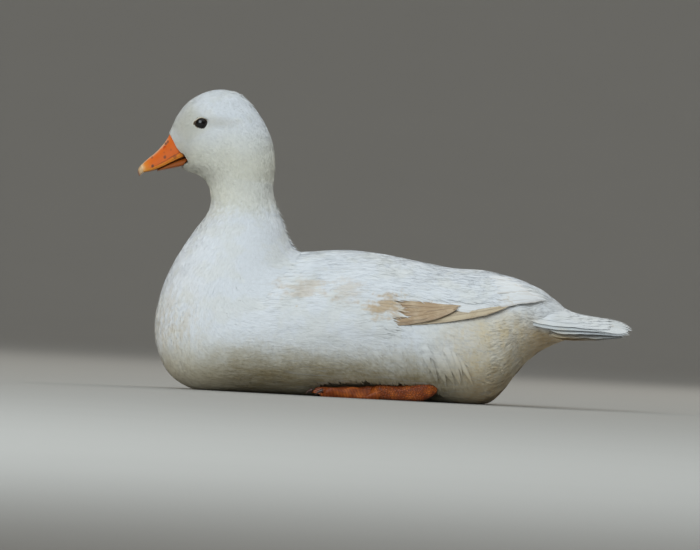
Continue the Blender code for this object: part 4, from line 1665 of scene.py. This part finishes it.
@dataclass
class TailFan:
    """The tail: an arched fan of quills with stepped tips, and coverts over and under its root."""

    coat: Coat
    root_y: float = 139.5
    tip_y: float = 190.0
    top_z: float = 74.0
    edge_y: Line = (110.0, 136.0, 170.0, 190.0)
    edge_z: Line = (66.0, 63.4, 61.6, 58.6)
    half_y: Line = (104.0, 108.0, 112.0, 116.0, 120.0, 136.0, 190.0)
    halves: Line = (43.5, 41.8, 39.4, 37.2, 36.0, 35.0, 31.5)
    quills: int = 14
    row_count: int = 21
    # rows of coverts over and under the quills: y of the roots, length, heights of tips and roots
    covert_rows: tuple[Line, ...] = (
        (106.0, 25.0, 1.0, 0.1), (114.0, 27.0, 1.0, 0.2), (121.0, 28.0, 0.9, 0.2), (129.0, 27.0, 0.8, 0.2),
        (137.0, 27.0, 0.6, 0.1), (145.0, 26.0, 0.4, 0.0),
        (124.0, 26.0, -15.5, -24.0), (131.0, 26.0, -15.0, -22.0), (138.0, 26.0, -14.4, -20.0),
        (145.0, 26.0, -13.6, -18.0), (152.0, 28.0, -10.5, -16.0), (158.0, 26.0, -6.0, -13.0),
        (157.0, 25.0, -3.4, -9.0), (155.0, 27.0, -1.6, -4.0), (153.0, 31.0, -1.0, -2.4),
    )

    def line(self, y: Array) -> Array:
        """Height of the fan's middle.

        Args:
            y: How far back.

        Returns:
            Its z at each y.
        """
        run = np.clip((y - self.root_y) / (self.tip_y - self.root_y), -1.0, 1.0)
        ahead = np.where(run < 0, -run * 24.0, 0.0)
        run = np.clip(run, 0.0, 1.0)
        return self.top_z + ahead - 3.6 * (1.0 - np.exp(-6.0 * run)) - 2.0 * run - 5.5 * run**8

    def fan(self, across: Array, y: Array, lift: Array) -> Array:
        """A point of the fan.

        Args:
            across: -1 to 1 over the fan.
            y: How far back.
            lift: Height over the quills.

        Returns:
            The points.
        """
        drop = (self.line(y) - np.interp(y, self.edge_y, self.edge_z)) * across**2
        return np.stack([self.half(y) * across, y, self.line(y) - drop + lift], axis=-1)

    def half(self, y: Array) -> Array:
        """Half the fan's width."""
        return np.interp(y, self.half_y, self.halves)

    def feathers(
        self, across: Array, start: Array, end: Array, width: Array, low: Array, high: Array, cut: Cutting,
        rng: np.random.Generator,
    ) -> Array:
        """Lays feathers lengthwise on the fan.

        Args:
            across: Where each lies over the fan.
            start: y of the roots.
            end: y of the tips.
            width: Widths.
            low: Heights of the roots over the quills.
            high: Heights of the tips.
            cut: Their outline.
            rng: Source of small differences.

        Returns:
            Their points.
        """
        s = cut.s
        y = start[:, None] + (end - start)[:, None] * s
        lift = low[:, None] + (high - low)[:, None] * s
        torn = 1.0 + 0.05 * rng.standard_normal((len(across), len(cut.s))) * eased(s * 4.0 - 2.6)
        wide = 0.5 * width[:, None] * cut.w * cut.share * torn
        side = across[:, None] + wide / self.half(y)
        return self.fan(side, y, lift - 0.03 * np.abs(wide))

    def build(self, quill: Material, covert: Material) -> list[Piece]:
        """Builds the quills and the coverts.

        Args:
            quill: Finish of the quills.
            covert: Finish of the coverts.

        Returns:
            Both pieces.
        """
        rng = np.random.default_rng(TAIL_SEED)
        cut = Cutting(along=18, across=6, root_width=0.7, widest=0.4, tip_round=3.2)
        place = np.linspace(-0.95, 0.95, self.quills)
        order = np.argsort(-np.abs(place))
        place = place[order]
        end = self.tip_y - 6.5 + 6.5 * np.sin(3.0 * np.abs(place)) - 4.5 * rng.random(self.quills)
        start = 124.0 - 11.0 * np.abs(place)
        stack = (1.0 - np.abs(place)) * 0.9
        width = np.full(self.quills, 11.5)
        points = self.feathers(place, start, end, width, stack - 1.6, stack - 0.6, cut, rng)
        group = FeatherGroup(self.coat, cut)
        tail = group.piece("tail_quills", points, rng.random(self.quills), width, end - start, quill)
        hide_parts("tail")
        soft = Cutting(along=7, across=4, root_width=0.4, widest=0.45, tip_round=2.8)
        rows = []
        for y, reach, high, low in self.covert_rows:
            broad = 1.5 if high < 0.0 else 1.0
            for across in np.linspace(-0.98, 0.98, self.row_count):
                deep = math.sqrt(1.0 - across**2) if high < 0.0 else 1.0 - across**4
                start, end = y + 5.0 * rng.random(), y + reach + 5.0 * rng.random()
                wide = broad * (5.4 + 1.5 * rng.random())
                rows.append((across, start, end, wide, low * deep, high * deep + 0.3 * rng.random()))
        table = np.array(rows)
        points = self.feathers(*table.T, soft, rng)
        group = FeatherGroup(self.coat, soft)
        length = table[:, 2] - table[:, 1]
        coverts = group.piece("tail_coverts", points, rng.random(len(table)), table[:, 3], length, covert)
        return [tail, coverts]


# ---- bill, eyes and legs


@dataclass
class Bill:
    """The bill: upper half with nostrils, nail, and lower half."""

    form: BodyForm
    # sections from the root to the tip: ridge y, z; underside y, z; half width
    upper: tuple[Line, ...] = (
        (-167.6, 191.5, -155.0, 174.9, 9.3), (-170.8, 185.6, -160.0, 172.5, 9.2),
        (-174.6, 180.6, -165.6, 169.6, 9.4), (-178.6, 176.2, -171.3, 166.5, 9.8),
        (-182.4, 172.9, -177.2, 163.9, 10.0), (-186.2, 169.1, -182.4, 162.4, 9.3),
        (-188.2, 167.0, -185.5, 161.7, 7.9),
    )
    nail: tuple[Line, ...] = (
        (-188.1, 167.1, -185.5, 161.7, 7.9), (-189.5, 165.3, -187.2, 160.4, 6.4),
        (-190.2, 163.4, -188.2, 159.5, 4.4), (-190.2, 161.5, -188.7, 158.9, 2.2),
        (-189.7, 160.0, -189.0, 158.7, 0.7),
    )
    lower: tuple[Line, ...] = (
        (-151.4, 175.6, -156.4, 168.3, 8.1), (-159.6, 172.9, -163.0, 166.5, 8.3),
        (-166.2, 169.8, -168.6, 165.1, 8.4), (-171.6, 166.8, -172.3, 164.2, 8.0),
        (-175.3, 164.8, -175.6, 163.3, 6.6),
    )
    nostril: Pair = (-171.0, 181.2)
    nostril_size: Triple = (1.5, 1.0, 1.6)
    level: float = 0.82
    fullness: float = 3.4

    def _surface(self, rows: tuple[Line, ...], ridge: Pair, u: Array, v: Array) -> Array:
        """Points of one part of the bill.

        Args:
            rows: Its sections.
            ridge: Fullness of the sections over the widest level, at the root and the tip.
            u: How far round from the ridge.
            v: How far from the root to the tip.

        Returns:
            The points.
        """
        row = catmull(np.array(rows), v * (len(rows) - 1))
        above = ridge[0] + (ridge[1] - ridge[0]) * v
        return ring(row, self.level, above, self.fullness, u * TURN)

    def _nostrils(self, points: Array) -> Array:
        """Hollows the nostrils, with a low rim.

        Args:
            points: Points of the upper half, which are moved.

        Returns:
            The same points.
        """
        long, high, deep = self.nostril_size
        y, z = points[..., 1] - self.nostril[0], points[..., 2] - self.nostril[1]
        along, across = (y * -0.62 + z * -0.78), (y * 0.78 - z * 0.62)
        apart = np.sqrt((along / long) ** 2 + (across / high) ** 2)
        sink = deep * eased((1.15 - apart) / 0.55) - 0.18 * eased(1.0 - np.abs(apart - 1.45) / 0.5)
        points[..., 0] -= np.sign(points[..., 0]) * sink
        return points

    def _upper(self, u: Array, v: Array) -> Array:
        """The upper half, with nostrils, and a rim and a groove over its cutting edge.

        Args:
            u: How far round from the ridge.
            v: How far from root to tip.

        Returns:
            The points.
        """
        points = self._nostrils(self._surface(self.upper, (1.7, 2.2), u, v))
        outward, edge = np.sign(points[..., 0]), np.abs(u - 0.5)
        rim = eased(1.0 - np.abs(edge - 0.155) / 0.035) * (1.0 - eased((v - 0.85) / 0.15))
        groove = eased(1.0 - np.abs(edge - 0.205) / 0.03) * (1.0 - eased((v - 0.8) / 0.15))
        points[..., 0] += outward * (0.30 * rim - 0.22 * groove)
        return points

    def build(self, skin: Material, horn: Material) -> list[Piece]:
        """Builds the three pieces.

        Args:
            skin: Finish of the bill's skin.
            horn: Finish of the nail.

        Returns:
            The bill's pieces.
        """
        pieces = []
        lower = partial(self._surface, self.lower, (2.4, 2.4))
        nail = partial(self._surface, self.nail, (2.3, 2.0))
        for name, shape, size, finish, slot in (
            ("bill_upper_skin", self._upper, (128, 84), skin, "bill_horn"),
            ("bill_lower_skin", lower, (72, 40), skin, "bill_horn"),
            ("bill_nail_horn", nail, (64, 32), horn, "nail_horn"),
        ):
            mesh = tube_mesh(name, *size, shape)
            u, v = stored(mesh, "u"), stored(mesh, "v")
            below = shape is lower
            # on the lower half, round and under set the finish's painted shade
            store(mesh, "round", 0.75 + 0.0 * u if below else 1.0 - np.abs(u - 0.5) * 2.0)
            store(mesh, "under", 0.72 - 0.35 * v if below else 0.0 * v)
            store(mesh, "border", 1.0 - eased((self.form.before_face(points_of(mesh) / MM) - 0.3) / 1.3))
            store(mesh, "along", 0.35 + 0.3 * v if below else v)
            piece = make_object(name, mesh, finish)
            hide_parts(name.rsplit("_", 1)[0])
            pieces.append(piece)
        return pieces


@dataclass
class Eye:
    """One eye: a wet ball deep in the head, with lids round it."""

    side: Side
    centre: Array
    radius: float = 5.6
    opening: Pair = (-143.6, 200.5)
    half: Pair = (4.35, 3.95)
    corner: float = 1.3

    def _rim(self, angle: Array, grow: float) -> tuple[Array, Array]:
        """Side-view y and z of the lids' edge, almond shaped with its corner to the front.

        Args:
            angle: Round the opening.
            grow: How far outside it.

        Returns:
            y and z.
        """
        y, z = np.cos(angle) * (self.half[0] + grow), np.sin(angle) * (self.half[1] + grow)
        front = eased((-np.cos(angle) - 0.72) / 0.28)
        rear = eased((np.cos(angle) - 0.80) / 0.20)
        y += self.opening[0] - self.corner * front + 0.9 * rear
        return y, self.opening[1] + z - 0.6 * front + 0.2 * rear

    def _lid(self, u: Array, v: Array) -> Array:
        """The lids' rounded band.

        Args:
            u: How far round the band.
            v: How far round the opening.

        Returns:
            The points.
        """
        angle, turn = v * TURN, u * TURN
        corner = 1.1 * eased((-np.cos(angle) - 0.80) / 0.18) + 0.7 * eased((np.cos(angle) - 0.86) / 0.12)
        half = np.where(np.cos(turn) > 0.0, 0.85, 0.45)
        y, z = self._rim(angle, 0.42 + half * np.cos(turn) - corner * (0.5 - 0.5 * np.cos(turn)))
        off = (y - self.centre[1]) ** 2 + (z - self.centre[2]) ** 2
        edge = abs(self.centre[0]) + np.sqrt(np.clip(self.radius**2 - off, 4.0, None))
        out = edge + 0.12 + 0.40 * np.sin(turn) + 0.20 * eased((np.abs(y - self.opening[0]) - 3.6) / 2.0)
        return np.stack([self.side.value * out, y, z], axis=-1)

    def lids(self, finish: Material) -> Piece:
        """The lids: a ring that rises from the ball to the feathers.

        Args:
            finish: Their material.

        Returns:
            The piece.
        """
        name = f"eyelids_{self.side.word}"
        mesh = tube_mesh(name, 16, 96, self._lid)
        inward = -np.cos(stored(mesh, "u") * TURN)
        ends = eased((np.abs(np.cos(stored(mesh, "v") * TURN)) - 0.82) / 0.13)
        bare = 0.4 * eased((inward + 0.6) / 0.5) + 0.6 * eased((inward - 0.1) / 0.7)
        store(mesh, "rim", np.clip(bare + 0.9 * ends * eased((inward + 0.7) / 0.4), 0.0, 1.0))
        return make_object(name, mesh, finish)

    def build(self, finish: Material) -> Piece:
        """The ball, with rings stored for the pupil and iris.

        Args:
            finish: Its material.

        Returns:
            The piece.
        """
        name = f"eyeball_{self.side.word}"
        bm = bmesh.new()
        bmesh.ops.create_uvsphere(bm, u_segments=48, v_segments=28, radius=self.radius)
        bmesh.ops.rotate(bm, verts=bm.verts[:], matrix=Matrix.Rotation(math.radians(90.0), 3, "Y"))
        bmesh.ops.translate(bm, verts=bm.verts[:], vec=Vector(self.centre))
        bmesh.ops.scale(bm, verts=bm.verts[:], vec=(MM, MM, MM))
        mesh = finished(bm, name)
        points = points_of(mesh) / MM - self.centre
        outward = points[:, 0] * self.side.value / self.radius
        ring = np.arccos(np.clip(outward, -1.0, 1.0)) / (0.5 * math.pi)
        store(mesh, "ring", ring)
        turn = np.arctan2(points[:, 2], points[:, 1])
        spread = np.minimum(ring, 2.0) * 0.24
        lay_out(mesh, np.stack([0.5 + spread * np.cos(turn), 0.5 + spread * np.sin(turn)], axis=-1))
        piece = make_object(name, mesh, finish)
        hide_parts(f"eye_{self.side.word}")
        return piece


@dataclass
class Leg:
    """One leg folded under the belly: a scaly shank on the floor, three webbed toes and their claws."""

    side: Side
    joint: Pair = (45.5, 1.0)
    heel: Pair = (47.5, 43.5)
    toes: tuple[Pair, ...] = ((38.5, -40.0), (45.5, -51.0), (52.5, -43.5))
    shank_nose: float = 8.0
    # sections from the toes to the heel: half width, lowest z, highest z
    shank_rows: tuple[Triple, ...] = (
        (1.5, 0.0, 5.0), (4.4, 0.0, 9.8), (5.0, 0.0, 11.1), (4.8, 0.0, 11.2), (4.5, 0.0, 11.2),
        (4.4, 0.0, 11.2), (4.5, 0.0, 11.6), (4.9, 0.0, 12.6), (5.4, 0.0, 13.6), (5.7, 0.3, 15.0),
        (5.4, 1.6, 15.6), (4.2, 3.6, 14.2), (1.6, 7.2, 11.2),
    )
    toe_height: float = 9.2
    toe_half: float = 2.6
    joint_half: float = 5.2
    web_height: float = 2.6
    web_bay: float = 0.12
    hind_toe: Pair = (40.2, 6.0)
    claw_length: float = 6.0

    def _shank(self, u: Array, v: Array) -> Array:
        """The shank.

        Args:
            u: How far round.
            v: How far from toes to heel.

        Returns:
            The points.
        """
        row = catmull(np.array(self.shank_rows), v * (len(self.shank_rows) - 1))
        turn = u * TURN
        x = self.joint[0] + (self.heel[0] - self.joint[0]) * v + row[..., 0] * np.sin(turn)
        y = self.joint[1] + 0.35 + self.shank_nose * (v - 1.0) + (self.heel[1] - self.joint[1]) * v
        low, high = row[..., 1], row[..., 2]
        level = np.cos(turn)
        level = np.where(level < 0, -np.abs(level) ** 0.7, level)
        z = 0.5 * (low + high) + 0.5 * (high - low) * level
        return np.stack([self.side.value * x, y, np.maximum(z, 0.0)], axis=-1)

    def _reach(self, v: Array) -> tuple[Array, Array]:
        """The foot's front border, and the toe nearest to it.

        Args:
            v: How far over the toes, from the inner one.

        Returns:
            Points of the border, and the tips of the nearest toes.
        """
        toes = np.array(self.toes)
        k = np.clip(np.floor(2.0 * v), 0, 1).astype(int)
        f = 2.0 * v - k
        joint = np.array(self.joint)
        border = toes[k] * (1.0 - f)[..., None] + toes[k + 1] * f[..., None]
        near = toes[np.clip(np.round(2.0 * v), 0, 2).astype(int)]
        bay = (1.0 - self.web_bay * np.sin(math.pi * f))[..., None]
        return joint + (border - joint) * bay, near

    def _foot(self, u: Array, v: Array) -> Array:
        """The foot with its toes and web.

        Args:
            u: How far over the toes and back along the sole.
            v: How far from joint to claws.

        Returns:
            The points.
        """
        top = u < 0.5
        side = np.clip(np.where(top, u * 2.0, 2.0 - u * 2.0), 0.0, 1.0)
        joint = np.array(self.joint)
        border, near = self._reach(side)
        root = np.stack([joint[0] + (side - 0.5) * 2.0 * self.joint_half, joint[1] + 0.0 * side], axis=-1)
        at = root + (border - root) * v[..., None]
        axis = joint + (near - joint) * v[..., None]
        knuckle = 1.0 + 0.10 * np.sin(v * 9.5) ** 2
        ridge = np.exp(-(((at[..., 0] - axis[..., 0]) / self.toe_half) ** 2))
        toe = self.toe_height * (1.0 - 0.35 * v) * ridge * knuckle
        web = self.web_height * (1.0 - 0.45 * v) * (1.0 + 0.12 * np.sin(side * 40.0) * np.sin(v * 3.0))
        base = self.shank_rows[2][2] * (1.0 - eased(v / 0.40)) * np.cos((side - 0.5) * 2.2)
        height = np.maximum(np.maximum(web, toe), base) * (1.0 - 0.55 * eased((v - 0.9) / 0.1))
        return np.stack([self.side.value * at[..., 0], at[..., 1], np.where(top, height, 0.0)], axis=-1)

    def _claws(self, name: str) -> Mesh:
        """Three claws and that of the small hind toe, joined.

        Args:
            name: Name of the mesh.

        Returns:
            The mesh.
        """
        bm = bmesh.new()
        joint = Vector((*self.joint, 0.0))
        for x, y in (*self.toes, self.hind_toe):
            level, thick = (4.6, 1.1) if (x, y) == self.hind_toe else (3.6, 1.7)
            way = (Vector((x, y, 0.0)) - joint).normalized()
            side = Vector((-way.y, way.x, 0.0))
            root = Vector((x, y, level)) - way * 1.6
            claw = bmesh.ops.create_cone(
                bm, cap_ends=True, segments=14, radius1=thick, radius2=0.35, depth=self.claw_length
            )["verts"]
            edges = [edge for edge in bm.edges if edge.verts[0] in claw]
            edges = [edge for edge in edges if abs((edge.verts[0].co - edge.verts[1].co).z) > 3.0]
            bmesh.ops.subdivide_edges(bm, edges=edges, cuts=5)
            for vert in [vert for vert in bm.verts if not vert.tag]:
                vert.tag = True
                run = vert.co.z / self.claw_length + 0.5
                bend = Vector((0.0, 0.0, 0.9 - 3.2 * run * run))
                vert.co = root + way * (run * 5.4) + side * vert.co.x + Vector((0.0, 0.0, vert.co.y)) + bend
                vert.co.x *= self.side.value
                vert.co.z = max(vert.co.z, 0.15)
        bmesh.ops.recalc_face_normals(bm, faces=bm.faces[:])
        bmesh.ops.scale(bm, verts=bm.verts[:], vec=(MM, MM, MM))
        return finished(bm, name)

    def build(self, skin: Material, horn: Material) -> list[Piece]:
        """Builds shank, foot and claws.

        Args:
            skin: Finish of the leg's skin.
            horn: Finish of the claws.

        Returns:
            The leg's pieces.
        """
        pieces = []
        parts = (("shank", self._shank, (56, 72), 0.15), ("foot", self._foot, (128, 90), 1.0))
        for part, shape, size, plates in parts:
            name = f"{part}_skin_{self.side.word}"
            mesh = tube_mesh(name, *size, shape)
            v = stored(mesh, "v")
            store(mesh, "along", v * 46.0)
            store(mesh, "plates", plates + 0.0 * v)
            piece = make_object(name, mesh, skin)
            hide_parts(f"{part}_{self.side.word}")
            pieces.append(piece)
        mesh = self._claws(f"claws_{self.side.word}")
        flat = points_of(mesh)[:, :2]
        share = (flat - flat.min(axis=0)) / np.ptp(flat, axis=0)
        store(mesh, "along", 1.0 - share[:, 1])
        lay_out(mesh, share)
        pieces.append(make_object(f"claws_{self.side.word}", mesh, horn))
        return pieces


# ---- studio


@dataclass(frozen=True)
class SoftBox:
    """A square light aimed at the duck."""

    name: str
    place: Triple
    size: float
    power: float
    tint: Colour

    def build(self) -> Piece:
        """Adds the light.

        Returns:
            The lamp.
        """
        data = bpy.data.lights.new(self.name, "AREA")
        data.shape = "SQUARE"
        data.size = self.size
        data.energy = self.power
        data.color = self.tint
        lamp = bpy.data.objects.new(self.name, data)
        lamp.location = self.place
        aim = Vector((0.0, 0.0, 0.10)) - Vector(self.place)
        lamp.rotation_euler = aim.to_track_quat("-Z", "Y").to_euler()
        bpy.context.scene.collection.objects.link(lamp)
        return lamp


@dataclass
class Studio:
    """A pale floor that curves up all round, soft lights and the camera."""

    finish: FloorFinish
    lights: tuple[SoftBox, ...] = (
        SoftBox("key_softbox", (2.9, -1.1, 1.8), 2.4, 74.0, (0.86, 0.95, 1.0)),
        SoftBox("top_softbox", (-0.3, 0.2, 3.0), 2.6, 8.0, (0.66, 0.90, 1.0)),
        SoftBox("far_softbox", (-2.4, 1.6, 2.2), 2.0, 34.0, (1.0, 0.97, 0.92)),
        SoftBox("warm_front_softbox", (-0.6, -2.6, 0.9), 1.0, 10.0, (1.0, 0.84, 0.64)),
    )
    sky: Colour = (0.98, 0.98, 0.95)
    sky_power: float = 0.50
    flat: float = 8.0
    wall: float = 15.0
    height: float = 11.0
    steps: int = 24
    aim: Triple = (0.0, -0.0259, 0.0924)
    distance: float = 6.0
    lens: float = 408.0
    roll: float = 3.0
    pitch: float = 0.35

    def floor(self) -> Piece:
        """The floor and its curved surround.

        Returns:
            The floor.
        """
        bm = bmesh.new()
        bmesh.ops.create_circle(bm, cap_ends=True, segments=96, radius=self.flat)
        rim = bm.edges[:]
        for k in range(self.steps):
            turned = bmesh.ops.extrude_edge_only(bm, edges=rim)["geom"]
            rim = [part for part in turned if isinstance(part, bmesh.types.BMEdge)]
            verts = list({vert for edge in rim for vert in edge.verts})
            bend = 0.5 * math.pi * (k + 1) / self.steps
            radius = self.flat + (self.wall - self.flat) * math.sin(bend)
            for vert in verts:
                vert.co = Vector((vert.co.x, vert.co.y, 0.0)).normalized() * radius
                vert.co.z = self.height * (1.0 - math.cos(bend))
        bmesh.ops.reverse_faces(bm, faces=[face for face in bm.faces if face.normal.z < -0.1])
        mesh = finished(bm, "studio_floor")
        mesh.shade_smooth()
        mesh.materials.append(self.finish.material())
        floor = bpy.data.objects.new("studio_floor", mesh)
        bpy.context.scene.collection.objects.link(floor)
        return floor

    def camera(self) -> Piece:
        """Adds the camera on the duck's left side, rolled a little.

        Returns:
            The camera.
        """
        data = bpy.data.cameras.new("camera")
        data.lens = self.lens
        data.sensor_width = 36.0
        data.clip_end = 50.0
        camera = bpy.data.objects.new("camera", data)
        roll, pitch = math.radians(self.roll), math.radians(self.pitch)
        back = Vector((math.cos(pitch), math.sin(pitch) * math.sin(roll), -math.sin(pitch) * math.cos(roll)))
        right = Vector((0.0, math.cos(roll), math.sin(roll)))
        up = back.cross(right)
        turn = Matrix((right, up, back)).transposed().to_4x4()
        camera.matrix_world = Matrix.Translation(Vector(self.aim) + back * self.distance) @ turn
        bpy.context.scene.collection.objects.link(camera)
        bpy.context.scene.camera = camera
        return camera

    def build(self) -> None:
        """Sets the studio up."""
        self.floor()
        for light in self.lights:
            light.build()
        world = bpy.data.worlds.new("studio_world")
        world.use_nodes = True
        background = world.node_tree.nodes["Background"]
        background.inputs["Color"].default_value = (*self.sky, 1.0)
        background.inputs["Strength"].default_value = self.sky_power
        bpy.context.scene.world = world
        bpy.context.scene.view_settings.view_transform = "Standard"
        self.camera()


def main() -> None:
    """Builds the duck piece by piece, then the studio."""
    form = BodyForm()
    coat = Coat(form)
    eyes = []
    for side in Side:
        low, high = (np.array(corner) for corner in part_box(f"eye_{side.word}"))
        eyes.append(Eye(side, 0.5 * (low + high) / MM + np.array(EYE_SHIFT)))
    plumage = PlumageFinish()
    Skin(form, plumage).build(eyes)
    soft = plumage.material()
    Plumage(coat).build(soft)
    white, buff = (0.86, 0.88, 0.90), (0.62, 0.50, 0.33)
    vanes = {
        "scapulars": ("scapular_vanes", white, buff, 0.05, (0.45, 0.38, 0.28), 0.25),
        "coverts": ("covert_vanes", white, buff, 0.35, (0.45, 0.36, 0.24), 0.2),
        "tertials": ("tertial_vanes", white, buff, 0.12, (0.40, 0.30, 0.18), 0.35),
        # the tail's quills: a greyer copy of the white, as painted shade
        "tail": ("tail_vanes", (0.66, 0.69, 0.70), buff, 0.05, (0.42, 0.38, 0.31), 0.06),
        "secondaries": ("buff_vanes", (0.62, 0.47, 0.30), (0.45, 0.29, 0.15), 0.5, (0.20, 0.12, 0.06), 0.8),
        "primaries": ("cream_vanes", (0.66, 0.54, 0.36), (0.50, 0.37, 0.21), 0.3, (0.24, 0.15, 0.08), 0.5),
    }
    finishes = {group: VaneFinish(*row).material() for group, row in vanes.items()}
    for side in Side:
        FoldedWing(coat, side, WING_SEED + side.value).build(finishes)
        FlankFeathers(coat, side, FLANK_SEED + side.value).build(soft)
    TailFan(coat).build(finishes["tail"], soft)
    horn = HornFinish("nail_horn", (0.66, 0.45, 0.25), (0.26, 0.085, 0.035)).material()
    claw = HornFinish("claw_horn", (0.30, 0.16, 0.09), (0.08, 0.04, 0.03)).material()
    Bill(form).build(BillFinish().material(), horn)
    ball, lid = EyeFinish().material(), LidFinish().material()
    for eye in eyes:
        eye.build(ball)
        eye.lids(lid)
    leg_skin = LegFinish().material()
    for side in Side:
        Leg(side).build(leg_skin, claw)
    Studio(FloorFinish()).build()


if __name__ == "__main__":
    main()
